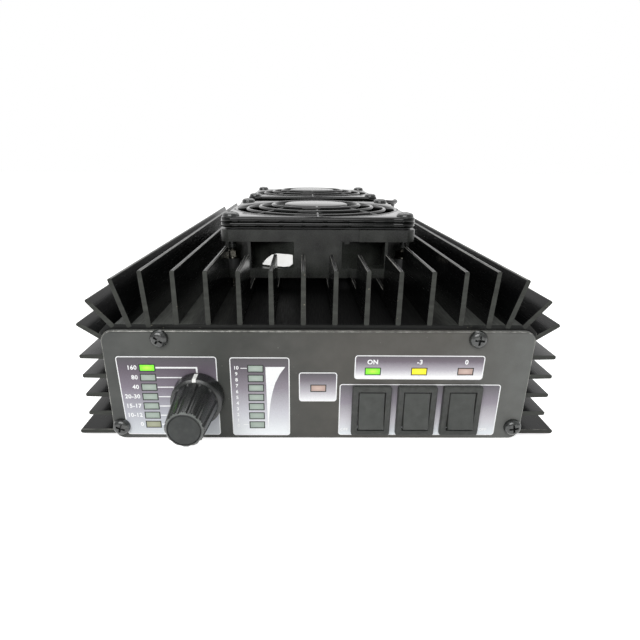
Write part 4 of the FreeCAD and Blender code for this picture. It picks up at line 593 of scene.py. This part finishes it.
# cross-headed screws
fanMiddles = {"front": (0.8, -35.1), "rear": (0.8, 78.7)}
fanHole = 35.75  # from a fan's middle, both ways
fanHoles = [(x + a * fanHole, y + b * fanHole) for x, y in fanMiddles.values() for a in sides for b in sides]
socketX, socketZ, socketHole = (-45.0, -13.0), 21.3, 9.15
screwShape = {
    "slot": 0.72, "depth": 1.4, "depthAt": 2.2, "spin": 37.0, "domeSpread": 3.2, "domeRound": 0.36,
    "shankDrop": -0.49,
}
screwSets = {
    # head radius, head height, shank radius and length, the recess's share of the head, and places:
    # x, y, z and the side it faces, which is 0 for upwards
    "panel_screws": {
        "head": 3.0, "height": 2.2, "shank": 1.45, "length": 10.0, "reach": 0.54, "finish": "blackSteel",
        "slot": "black_steel",
        "places": [(x, side * 127.0, z, side)
                   for x, z in ((-52.6, 38.2), (-69.0, 5.3), (52.6, 38.2), (69.0, 5.3)) for side in sides]},
    "guard_screws": {
        "head": 3.5, "height": 2.0, "shank": 1.45, "length": 12.4, "reach": 0.46, "finish": "blackSteel",
        "slot": "black_steel", "places": [(x, y, 71.1, 0) for x, y in fanHoles]},
    "socket_screws": {
        "head": 2.5, "height": 1.8, "shank": 1.25, "length": 7.0, "reach": 0.62, "finish": "zincSteel",
        "slot": "zinc_steel", "places": [(x + a * socketHole, 128.8, socketZ + b * socketHole, 1)
                                         for x in socketX for a in sides for b in sides]},
}


def screwTree(p):
    tree, value = startTree("crossScrews", (
        "Head Radius", "Head Height", "Shank Radius", "Shank Length", "Recess Reach", "Recess Slot",
        "Recess Depth"))
    ball = geo(tree, "MeshUVSphere", {"Segments": 48, "Rings": 28, "Radius": 1.0})
    place = axes(tree, geo(tree, "InputPosition"))
    level = vectorOf(tree, place["X"], place["Y"])
    out = addNode(tree, "ShaderNodeVectorMath", {0: level}, operation="LENGTH").outputs["Value"]
    dome = maths(tree, "SUBTRACT", 1.0, maths(tree, "POWER", out, p["domeSpread"]))
    dome = maths(tree, "POWER", maths(tree, "MAXIMUM", dome, 0.0), p["domeRound"])
    dome = times(tree, dome, maths(tree, "GREATER_THAN", place["Z"], 0.001))
    x, y = (times(tree, place[axis], value["Head Radius"]) for axis in "XY")
    shaped = vectorOf(tree, x, y, times(tree, dome, value["Head Height"]))
    head = geo(tree, "SetPosition", {"Geometry": ball, "Position": shaped})
    long, tall = (times(tree, value[label], 2.0) for label in ("Recess Reach", "Recess Depth"))
    thin = value["Recess Slot"]
    cut = addNode(tree, "GeometryNodeMeshBoolean", {"Mesh 1": head}, operation="DIFFERENCE", solver="EXACT")
    for size in ((long, thin, tall), (thin, long, tall)):
        bar = geo(tree, "MeshCube", {"Size": vectorOf(tree, *size)})
        bar = geo(tree, "Transform", {"Geometry": bar, "Translation": vectorOf(tree, z=value["Head Height"])})
        tree.links.new(bar, cut.inputs["Mesh 2"])
    shank = geo(tree, "MeshCylinder", {
        "Vertices": 24, "Radius": value["Shank Radius"], "Depth": value["Shank Length"]})
    drop = times(tree, value["Shank Length"], p["shankDrop"])
    shank = geo(tree, "Transform", {"Geometry": shank, "Translation": vectorOf(tree, z=drop)})
    placed = geo(tree, "InstanceOnPoints", {
        "Points": value["Geometry"], "Instance": joined(tree, shank, cut.outputs["Mesh"]),
        "Rotation": attribute(tree, "screwTurn", "FLOAT_VECTOR")})
    return endInstances(tree, placed, value["Finish"])


def makeScrews(p):
    tree = screwTree(p)
    for node, look in screwSets.items():
        turns = []
        for i, (x, y, z, side) in enumerate(look["places"]):
            spin = math.radians(p["spin"] * (i + 1))
            turns.append((0.0, 0.0, spin) if side == 0 else (-side * math.pi / 2, spin, 0.0))
        points = pointCloud(node + "Points", [place[:3] for place in look["places"]], screwTurn=turns)
        growPiece(node + "_dressed", tree, points, {
            "Head Radius": look["head"], "Head Height": look["height"], "Shank Radius": look["shank"],
            "Shank Length": look["length"], "Recess Reach": look["reach"] * look["head"],
            "Recess Slot": p["slot"], "Recess Depth": p["depth"] * look["height"] / p["depthAt"],
            "Finish": look["finish"]}, [node], smooth=40.0)


makeScrews(screwShape)
print("screws done")

# finger guards
guardShape = {
    "half": 39.4, "corner": 4.5, "boss": 5.6, "bossAt": 34.4, "opening": 37.97, "steps": 240,
    # side profiles: how far in from the outline, and height
    "base": [(1.5, 66.4), (1.5, 67.0), (0.25, 67.15), (0.0, 67.4), (0.0, 68.8), (0.12, 68.95)],
    "cover": [(0.12, 69.0), (0.0, 69.12), (0.0, 70.35), (0.12, 70.8), (0.45, 71.15), (0.95, 71.35),
              (1.5, 71.4)],
    "lip": [(0.9, 71.4), (0.4, 71.3), (0.0, 70.9)],  # how far out from the opening, and height
    "disc": [(14.2, 72.0), (14.8, 72.2), (15.1, 72.7), (15.0, 73.1), (14.6, 73.45), (14.0, 73.6)],
    "tube": 0.95, "rings": [(37.6, 70.5), (32.1, 70.95), (26.25, 71.85), (20.2, 72.65)],  # radius and height
    "spokes": 8, "spokeWidth": 1.5, "spokePath": [(38.6, 70.3), (28.0, 71.6), (14.4, 72.85)],
}
pathLabels = ("Outer End", "Middle", "Inner End")


def guardOutline(p, inset):
    # the square with a round boss at each corner, as the way out from the middle at each step round
    def reachOf(angle):
        c, s = abs(math.cos(angle)), abs(math.sin(angle))
        side = p["half"] / max(c, s)
        core = p["half"] - p["corner"]
        found = side
        if min(c, s) * side > core:  # within the rounded corner
            along = core * (c + s)
            found = along + math.sqrt(max(0.0, along * along - 2 * core * core + p["corner"] ** 2))
        along = p["bossAt"] * (c + s)
        rest = along * along - 2 * p["bossAt"] ** 2 + p["boss"] ** 2
        return max(found, along + math.sqrt(rest)) if rest > 0 else found

    points = []
    for i in range(p["steps"]):
        angle = 2 * math.pi * i / p["steps"]
        reach = reachOf(angle)
        points.append(Vector((reach * math.cos(angle), reach * math.sin(angle))))
    moved = []
    for i, point in enumerate(points):
        along = (points[(i + 1) % len(points)] - points[i - 1]).normalized()
        moved.append(point - Vector((along.y, -along.x)) * inset)
    return moved


def stackRings(bm, rings):
    # skins a run of closed rings of points, in mm
    made = [[bm.verts.new(Vector(point) * mm) for point in ring] for ring in rings]
    skin(bm, made)
    return made


def makeGuard(p, name, x, y):
    def around(radius, z):
        turns = [2 * math.pi * i / p["steps"] for i in range(p["steps"])]
        return [(x + radius * math.cos(turn), y + radius * math.sin(turn), z) for turn in turns]

    def edged(profile):
        return [[(x + point.x, y + point.y, z) for point in guardOutline(p, inset)] for inset, z in profile]

    for layer, lip in (("base", [(0.0, p["base"][-1][1])]), ("cover", p["lip"])):
        bm = bmesh.new()
        rings = edged(p[layer]) + [around(p["opening"] + out, z) for out, z in lip]
        rings.append(around(p["opening"], p[layer][0][1]))
        stackRings(bm, rings + rings[:1])
        if layer == "cover":
            made = stackRings(bm, [around(radius, z) for radius, z in p["disc"]])
            bm.faces.new(made[-1])
            bm.faces.new(made[0][::-1])
        bmesh.ops.remove_doubles(bm, verts=bm.verts, dist=1e-6)
        bmesh.ops.recalc_face_normals(bm, faces=bm.faces)
        node = "fan_guard_" + layer + "_" + name
        addPiece(node + "_dressed", meshOf(node, bm, "guardPlastic", smooth=48), [node])


def guardTree():
    tree, value = startTree("guardRings", ("Tube Radius", "Spoke Width"), pathLabels)
    isSpoke = maths(tree, "LESS_THAN", attribute(tree, "ringRadius"), 0.0)
    parts = addNode(tree, "GeometryNodeSeparateGeometry", {
        "Geometry": value["Geometry"], "Selection": isSpoke}).outputs
    circle = geo(tree, "CurvePrimitiveCircle", {"Resolution": 128, "Radius": 1.0})
    placed = geo(tree, "InstanceOnPoints", {
        "Points": parts["Inverted"], "Instance": circle, "Scale": attribute(tree, "ringRadius")})
    paths = geo(tree, "RealizeInstances", {"Geometry": placed})
    tube = geo(tree, "CurvePrimitiveCircle", {"Resolution": 20, "Radius": value["Tube Radius"]})
    rings = geo(tree, "CurveToMesh", {"Curve": paths, "Profile Curve": tube})
    bow = geo(tree, "CurveQuadraticBezier", {
        "Resolution": 16, "Start": value["Outer End"], "Middle": value["Middle"], "End": value["Inner End"]})
    rod = geo(tree, "CurvePrimitiveCircle", {
        "Resolution": 12, "Radius": times(tree, value["Spoke Width"], 0.5)})
    spoke = geo(tree, "CurveToMesh", {"Curve": bow, "Profile Curve": rod, "Fill Caps": True})
    spokes = geo(tree, "InstanceOnPoints", {
        "Points": parts["Selection"], "Instance": spoke,
        "Rotation": attribute(tree, "spokeTurn", "FLOAT_VECTOR")})
    return endInstances(tree, joined(tree, spokes, rings), value["Finish"])


def makeGuards(p):
    rows, radii, turns = [], [], []
    for name, (x, y) in fanMiddles.items():
        makeGuard(p, name, x, y)
        for radius, z in p["rings"]:
            rows.append((x, y, z))
            radii.append(radius * mm)
            turns.append((0.0, 0.0, 0.0))
        for k in range(p["spokes"]):
            rows.append((x, y, 0.0))
            radii.append(-1.0)
            turns.append((0.0, 0.0, 2 * math.pi * k / p["spokes"]))
    points = pointCloud("ringPoints", rows, ringRadius=radii, spokeTurn=turns)
    path = {label: (r * mm, 0.0, z * mm) for label, (r, z) in zip(pathLabels, p["spokePath"])}
    growPiece("guard_rings", guardTree(), points, {
        "Tube Radius": p["tube"], "Spoke Width": p["spokeWidth"], "Finish": "guardPlastic", **path})


makeGuards(guardShape)
print("guards done")

# threads
threadSets = {
    "socket_threads": {
        "Thread Radius": 7.94, "Pitch": 1.06, "Length": 14.6, "Tooth": 0.3, "Turn": (-math.pi / 2, 0.0, 0.0),
        "Finish": "nickel", "slot": "nickel", "places": [(x, 129.3, socketZ) for x in socketX]},
    "stud_threads": {
        "Thread Radius": 1.48, "Pitch": 0.7, "Length": 15.6, "Tooth": 0.2, "Turn": (0.0, 0.0, 0.0),
        "Finish": "zincSteel", "slot": "zinc_steel", "places": [(x, y, 42.4) for x, y in fanHoles]},
}


def threadTree():
    tree, value = startTree("screwThreads", ("Thread Radius", "Pitch", "Length", "Tooth"), ("Turn",))
    path = geo(tree, "CurveSpiral", {
        "Resolution": 40, "Rotations": maths(tree, "DIVIDE", value["Length"], value["Pitch"]),
        "Start Radius": value["Thread Radius"], "End Radius": value["Thread Radius"],
        "Height": value["Length"]})
    tooth = geo(tree, "CurvePrimitiveCircle", {"Resolution": 6, "Radius": value["Tooth"]})
    coil = geo(tree, "CurveToMesh", {"Curve": path, "Profile Curve": tooth, "Fill Caps": True})
    placed = geo(tree, "InstanceOnPoints", {
        "Points": value["Geometry"], "Instance": coil, "Rotation": value["Turn"]})
    return endInstances(tree, placed, value["Finish"])


threads = threadTree()
for name, look in threadSets.items():
    growPiece(name, threads, pointCloud(name + "Points", look["places"]), look)
print("threads done")

# label on the front fan
labelShape = {
    "radius": 41.28,
    # angle from straight ahead, foot and head, in degrees and mm
    "outline": [(14.6, 52.6, 56.2), (16.5, 51.4, 56.4), (20.0, 51.1, 56.4), (24.5, 51.1, 56.4),
                (28.0, 51.1, 55.6), (31.5, 51.1, 53.8), (34.5, 51.1, 51.5)],
}


def makeLabel(p):
    bm = bmesh.new()
    pairs = []
    for angle, low, high in p["outline"]:
        x = fanMiddles["front"][0] - p["radius"] * math.sin(math.radians(angle))
        y = fanMiddles["front"][1] - p["radius"] * math.cos(math.radians(angle))
        pairs.append([bm.verts.new((x * mm, y * mm, z * mm)) for z in (low, high)])
    turnForward([bm.faces.new((near[0], near[1], far[1], far[0])) for near, far in zip(pairs, pairs[1:])])
    mesh = meshOf("fanLabel", bm, "labelPaper", smooth=60)
    addPiece("fan_label_dressed", mesh, ["fan_label"])


makeLabel(labelShape)
print("label done")

# front print
printShape = {
    "filmFace": -127.0, "fillLift": 0.02, "inkLift": 0.035, "outline": 0.32, "corner": 1.0, "cornerSteps": 6,
    "boxes": {
        "band": [(-68.05, 31.75), (-34.3, 31.7), (-34.4, 1.75), (-67.3, 2.0)],
        "output": [(-30.0, 31.45), (-9.85, 31.45), (-9.8, 1.6), (-30.0, 1.6)],
        "protection": [(-6.7, 26.0), (6.35, 26.0), (6.35, 15.1), (-6.6, 15.1)],
        "indicator": [(12.2, 32.3), (56.0, 32.2), (55.9, 23.4), (12.1, 23.6)],
        "switches": [(7.3, 21.7), (62.8, 21.6), (62.8, 1.75), (7.3, 1.75)],
    },
    "lampX": -57.8, "lampTop": 27.6, "lampPitch": 3.6,
    "levelX": -21.35, "levelTop": 27.35, "levelPitch": 3.59,
    # lines to the knob: where they start after a lamp, and their ends
    "lineStart": 2.85, "topLine": [(-41.2, 27.65), (-41.1, 25.2)], "topWidth": 0.6,
    "lineEnds": [-45.6, -48.0, -49.6, -50.0, -50.2, -54.1], "lineWidth": 0.42,
    "levelLines": [[(-26.4, 27.5), (-24.25, 27.5)], [(-26.2, 5.9), (-24.4, 5.9)]], "levelWidth": 0.26,
    "horn": [(-18.0, 28.0), (-11.3, 28.0), (-13.2, 25.3), (-14.75, 22.0), (-15.7, 18.7), (-16.4, 15.3),
             (-16.9, 11.3), (-17.2, 7.8), (-17.35, 4.85), (-17.55, 4.85)],
    "bandNames": ["160", "80", "40", "20-30", "15-17", "10-12", "0"], "bandX": -61.3, "bandSize": 1.5,
    "scaleX": -27.9, "scaleTop": 27.6, "scalePitch": 2.22, "scaleSize": 1.2,
    "statusNames": {"ON": 18.2, "-3": 34.1, "0": 49.9}, "statusZ": 29.8, "statusSize": 1.6,
    "offPlaces": (9.4, 58.6), "offZ": 4.0, "offSize": 1.05,
}
letterShape = {"capital": 0.7, "bold": 0.045, "spacing": 1.06}
fadeLooks = {
    "band": [(0.0, (222, 227, 231)), (0.3, (182, 183, 192)), (0.62, (128, 120, 132)), (0.85, (98, 90, 100)),
             (1.0, (84, 83, 86))],
    "output": [(0.0, (246, 250, 252)), (0.3, (205, 205, 212)), (0.62, (142, 136, 145)),
               (0.85, (102, 96, 104)), (1.0, (86, 84, 86))],
    "protection": [(0.0, (249, 250, 252)), (0.35, (186, 183, 190)), (0.75, (116, 110, 118)),
                   (1.0, (88, 86, 89))],
    "indicator": [(0.0, (255, 255, 255)), (0.12, (250, 250, 251)), (0.4, (184, 180, 188)),
                  (0.75, (112, 104, 114)), (1.0, (90, 87, 90))],
    "switches": [(0.0, (236, 242, 246)), (0.3, (208, 206, 212)), (0.65, (146, 140, 150)),
                 (1.0, (94, 92, 96))],
}


def roundedOutline(p, corners, inset=0.0):
    # corners go round clockwise from the upper left one, seen from the front; the outline lies inset inside
    count = len(corners)
    middleX, middleZ = sum(x for x, z in corners) / count, sum(z for x, z in corners) / count
    corners = [Vector((x + inset * (1 if middleX > x else -1), z + inset * (1 if middleZ > z else -1)))
               for x, z in corners]
    radius = p["corner"] - inset
    points = []
    for i, here in enumerate(corners):
        back = (corners[i - 1] - here).normalized()
        on = (corners[(i + 1) % count] - here).normalized()
        half = back.angle(on) / 2
        centre = here + (back + on).normalized() * (radius / math.sin(half))
        start = here + back * (radius / math.tan(half)) - centre
        end = here + on * (radius / math.tan(half)) - centre
        turn = start.angle_signed(end)
        for k in range(p["cornerSteps"] + 1):
            angle = -turn * k / p["cornerSteps"]
            points.append((centre.x + start.x * math.cos(angle) - start.y * math.sin(angle),
                           centre.y + start.x * math.sin(angle) + start.y * math.cos(angle)))
    return points


def frontVerts(bm, points, lift):
    y = (printShape["filmFace"] - lift) * mm
    return [bm.verts.new((x * mm, y, z * mm)) for x, z in points]


def frontFace(bm, points, lift):
    turnForward([bm.faces.new(frontVerts(bm, points, lift))])


def frontStrip(bm, outer, inner, lift):
    turnForward(skin(bm, [frontVerts(bm, ring, lift) for ring in (outer, inner)]))


def frontLine(bm, points, width):
    # a drawn line of even width along a few points
    left, right = [], []
    for i, point in enumerate(points):
        here = Vector(point)
        before = (here - Vector(points[i - 1])).normalized() if i else None
        after = (Vector(points[i + 1]) - here).normalized() if i + 1 < len(points) else None
        along = ((before or after) + (after or before)).normalized()
        across = Vector((-along.y, along.x))
        reach = width / 2 / max(0.3, across.dot(Vector((-(after or before).y, (after or before).x))))
        left.append(here + across * reach)
        right.append(here - across * reach)
    for i in range(len(points) - 1):
        frontFace(bm, [left[i], left[i + 1], right[i + 1], right[i]], printShape["inkLift"])


def fadePrint(name, stops, low, high):
    # printed shading that runs from the box's foot to its head, through a fine halftone
    tree, shader = startFinish(name)
    height = span(tree, axes(tree, ownPlace(tree))["Z"], 0, 1, low * mm, high * mm)
    dots = span(tree, objectNoise(tree, 0.22, detail=1.0), -0.03, 0.03)
    wire(tree, shader, {
        "Base Color": ramp(tree, maths(tree, "ADD", height, dots), stops),
        "Roughness": span(tree, objectNoise(tree, 0.4), 0.4, 0.55), "Specular IOR Level": 0.35})


def printWords(words, x, z, height, align="CENTER"):
    curve = bpy.data.curves.new("words", "FONT")
    curve.body = words
    curve.size = height / letterShape["capital"] * mm
    curve.align_x = align
    curve.align_y = "CENTER"
    curve.offset = letterShape["bold"] * height * mm
    curve.space_character = letterShape["spacing"]
    curve.resolution_u = 3
    holder = bpy.data.objects.new("words", curve)
    link(holder)
    mesh = bpy.data.meshes.new_from_object(holder.evaluated_get(bpy.context.evaluated_depsgraph_get()))
    bpy.data.objects.remove(holder)
    y = (printShape["filmFace"] - printShape["inkLift"]) * mm
    mesh.transform(Matrix.Translation((x * mm, y, z * mm)) @ Matrix.Rotation(math.pi / 2, 4, "X"))
    return mesh


def makePrint(p):
    for name, corners in p["boxes"].items():
        heights = [z for x, z in corners]
        bm = bmesh.new()
        frontFace(bm, roundedOutline(p, corners, p["outline"] / 2), p["fillLift"])
        fadePrint(name + "Fade", fadeLooks[name], min(heights), max(heights))
        addPiece(name + "_box_print", meshOf(name + "Fill", bm, name + "Fade"))
    bm = bmesh.new()
    for corners in p["boxes"].values():
        inner = roundedOutline(p, corners, p["outline"])
        frontStrip(bm, roundedOutline(p, corners), inner, p["inkLift"])
    start = p["lampX"] + p["lineStart"]
    frontLine(bm, [(start, p["topLine"][0][1]), *p["topLine"]], p["topWidth"])
    for i, end in enumerate(p["lineEnds"]):
        z = p["lampTop"] - (i + 1) * p["lampPitch"]
        frontLine(bm, [(start, z), (end, z)], p["lineWidth"])
    for ends in p["levelLines"]:
        frontLine(bm, ends, p["levelWidth"])
    frontFace(bm, p["horn"], p["inkLift"])
    words = [printWords(name, p["bandX"], p["lampTop"] - i * p["lampPitch"], p["bandSize"], "RIGHT")
             for i, name in enumerate(p["bandNames"])]
    words += [printWords(str(10 - i), p["scaleX"], p["scaleTop"] - i * p["scalePitch"], p["scaleSize"])
              for i in range(11)]
    words += [printWords(name, x, p["statusZ"], p["statusSize"]) for name, x in p["statusNames"].items()]
    words += [printWords("OFF", x, p["offZ"], p["offSize"]) for x in p["offPlaces"]]
    for mesh in words:
        bm.from_mesh(mesh)
    addPiece("front_ink", meshOf("frontInk", bm, "printWhite"))


makePrint(printShape)
print("front print done")

# lamps
lampShape = {
    "width": 4.8, "height": 2.1, "proud": 0.1, "depth": 1.2, "rim": 0.34, "rimLift": 0.045, "bevel": 0.06,
}
lampLooks = {  # core, rim and glow
    "litGreen": ((170, 250, 70), (112, 226, 36), 0.5),
    "litYellow": ((255, 250, 60), (240, 222, 24), 0.5),
    "offGreen": ((172, 184, 175), (156, 170, 160), 0.0),
    "offYellow": ((174, 177, 154), (160, 162, 136), 0.0),
    "offRed": ((206, 182, 172), (184, 158, 148), 0.0),
}
bandPlaces, levelPlaces = (
    [(printShape[row + "X"], printShape[row + "Top"] - printShape[row + "Pitch"] * i) for i in range(7)]
    for row in ("lamp", "level"))
lampSets = {
    # node: places and looks, the protection lamp last
    "band_lamps": (bandPlaces, ["litGreen"] + ["offGreen"] * 5 + ["offYellow"]),
    "level_lamps": (levelPlaces, ["offGreen"] * 7),
    "status_lamps": ([(34.1 + 15.75 * i, 26.45) for i in (-1, 0, 1)] + [(0.0, 20.1)],
                     ["litGreen", "litYellow", "offRed", "offRed"]),
}


def lampLens(name, core, rim, glow):
    # brighter in the middle of the lens, by the lens's own map
    tree, shader = startFinish(name)
    place = {0: shade(tree, "UVMap", uv_map="lens"), 1: (0.5, 0.5, 0.0)}
    away = addNode(tree, "ShaderNodeVectorMath", place, operation="DISTANCE").outputs["Value"]
    away = maths(tree, "ADD", away, span(tree, objectNoise(tree, 0.5), -0.06, 0.06))
    colour = ramp(tree, away, [(0.05, core), (0.5, rim)])
    wire(tree, shader, {"Base Color": colour, "Roughness": 0.3})
    if glow:
        wire(tree, shader, {"Emission Color": colour, "Emission Strength": glow})


def makeLamps(p, node, places, looks):
    bm = bmesh.new()
    uv = bm.loops.layers.uv.new("lens")
    kinds = sorted(set(looks))
    front = printShape["filmFace"] - p["proud"]
    steps = [(p["bevel"], front), (0, front + p["bevel"]), (0, front + p["depth"])]

    def corners(x, z, grow):
        w, h = p["width"] / 2 + grow, p["height"] / 2 + grow
        return [(x + a * w, z + b * h) for a, b in ((-1, 1), (1, 1), (1, -1), (-1, -1))]

    for (x, z), kind in zip(places, looks):
        rings = [[bm.verts.new((u * mm, y * mm, v * mm)) for u, v in corners(x, z, -inset)]
                 for inset, y in steps]
        faces = [bm.faces.new(rings[0]), bm.faces.new(rings[-1][::-1])]
        for near, far in zip(rings, rings[1:]):
            faces += [bm.faces.new((near[i], far[i], far[i - 3], near[i - 3])) for i in range(4)]
        for face in faces:
            face.material_index = kinds.index(kind)
            for loop in face.loops:
                place = loop.vert.co / mm
                loop[uv].uv = ((place.x - x) / p["width"] + 0.5, (place.z - z) / p["height"] + 0.5)
    bmesh.ops.recalc_face_normals(bm, faces=bm.faces)
    name = node[:-1] + "_lenses"
    addPiece(name, meshOf(name, bm, *kinds), [node])
    # a dark rim round each lens: printed outline and painted shade of the gap round the lens
    rim = bmesh.new()
    for x, z in places:
        frontStrip(rim, corners(x, z, p["rim"]), corners(x, z, 0), p["rimLift"])
    addPiece(name + "_rims", meshOf(name + "Rims", rim, "printBlack"))


for name, look in lampLooks.items():
    lampLens(name, *look)
for node, (places, looks) in lampSets.items():
    makeLamps(lampShape, node, places, looks)
print("lamps done")

# room, lamps and camera
roomLook = {"ambient": 0.42, "floorGlow": 0.7, "floorHalf": 3.0, "floorDrop": 0.03}
lightLooks = {
    "topSoftbox": {"place": (0.0, 0.35, 0.95), "aim": (0, 0.0, 0.03), "size": (1.1, 0.9), "power": 5.0},
    "frontFill": {"place": (-0.25, -1.0, 0.75), "aim": (0, -0.1, 0.03), "size": (0.9, 0.7), "power": 9.0},
}
cameraLook = {
    "focal": 496.56, "pixels": 640, "film": 36.0, "centre": (306.8, 354.3), "pitch": 21.577, "yaw": -0.563,
    "roll": 0.351, "place": (-5.548, -281.157, 93.583),
}


def makeWorld(p):
    world = bpy.context.scene.world = bpy.data.worlds.new("studio")
    world.use_nodes = True
    tree = world.node_tree
    dim = tree.nodes["Background"]
    wire(tree, dim, {"Strength": p["ambient"], "Color": (1, 1, 1, 1)})
    white = shade(tree, "Background", {"Color": (1, 1, 1, 1), "Strength": 1.0})
    # the camera sees white all round; a shiny surface sees white behind and a dimmer room in front
    path = addNode(tree, "ShaderNodeLightPath").outputs
    shiny = maths(tree, "MAXIMUM", path["Is Glossy Ray"], path["Is Transmission Ray"])
    look = axes(tree, addNode(tree, "ShaderNodeTexCoord").outputs["Generated"])
    behind = span(tree, look["Y"], 0, 1, -0.25, 0.35)
    seen = maths(tree, "MAXIMUM", path["Is Camera Ray"], times(tree, shiny, behind))
    mix = shade(tree, "MixShader", {0: seen, 1: dim.outputs[0], 2: white})
    wire(tree, tree.nodes["World Output"], {"Surface": mix})


def makeFloor(p):
    tree, shader = startFinish("paleFloor")
    colour = ramp(tree, objectNoise(tree, 60), [(0.3, (244, 244, 243)), (0.7, (248, 248, 247))])
    wire(tree, shader, {"Base Color": colour, "Roughness": 0.9, "Specular IOR Level": 0.0})
    # it glows where the camera, a mirror or glass looks, and not where the light is gathered
    path = addNode(tree, "ShaderNodeLightPath").outputs
    looked = maths(tree, "MAXIMUM", path["Is Camera Ray"], path["Is Glossy Ray"])
    looked = maths(tree, "MAXIMUM", looked, path["Is Transmission Ray"])
    none, glow = (shade(tree, "Emission", {"Strength": power}) for power in (0.0, p["floorGlow"]))
    lit = shade(tree, "MixShader", {0: looked, 1: none, 2: glow})
    both = shade(tree, "AddShader", {0: shader.outputs[0], 1: lit})
    wire(tree, tree.nodes["Material Output"], {"Surface": both})
    bm = bmesh.new()
    bmesh.ops.create_grid(bm, x_segments=8, y_segments=8, size=p["floorHalf"])
    floor = bpy.data.objects.new("floor", meshOf("floor", bm, "paleFloor"))
    floor.location.z = -p["floorDrop"] * mm
    link(floor)


def makeLight(name, look):
    lamp = bpy.data.lights.new(name, "AREA")
    lamp.shape = "RECTANGLE"
    lamp.size, lamp.size_y = look["size"]
    lamp.energy = look["power"]
    holder = bpy.data.objects.new(name, lamp)
    holder.location = look["place"]
    aim = Vector(look["aim"]) - Vector(look["place"])
    holder.rotation_euler = aim.to_track_quat("-Z", "Y").to_euler()
    link(holder)


def makeCamera(p):
    lens = bpy.data.cameras.new("camera")
    lens.sensor_width = p["film"]
    lens.lens = p["focal"] / p["pixels"] * p["film"]
    lens.shift_x = (p["pixels"] / 2 - p["centre"][0]) / p["pixels"]
    lens.shift_y = (p["centre"][1] - p["pixels"] / 2) / p["pixels"]
    lens.clip_start = 0.01
    pitch, yaw, roll = (math.radians(p[key]) for key in ("pitch", "yaw", "roll"))
    ahead = Vector((-math.sin(yaw) * math.cos(pitch), math.cos(yaw) * math.cos(pitch), -math.sin(pitch)))
    right = Vector((math.cos(yaw), math.sin(yaw), 0))
    up = right.cross(ahead)
    right, up = (math.cos(roll) * right + math.sin(roll) * up, math.cos(roll) * up - math.sin(roll) * right)
    turn = Matrix((right, up, -ahead)).transposed().to_4x4()
    holder = bpy.data.objects.new("camera", lens)
    holder.matrix_world = Matrix.Translation(Vector(p["place"]) * mm) @ turn
    link(holder)
    bpy.context.scene.camera = holder


makeWorld(roomLook)
makeFloor(roomLook)
for name, look in lightLooks.items():
    makeLight(name, look)
makeCamera(cameraLook)
bpy.context.scene.view_settings.view_transform = "Standard"
print("room, lights and camera done")
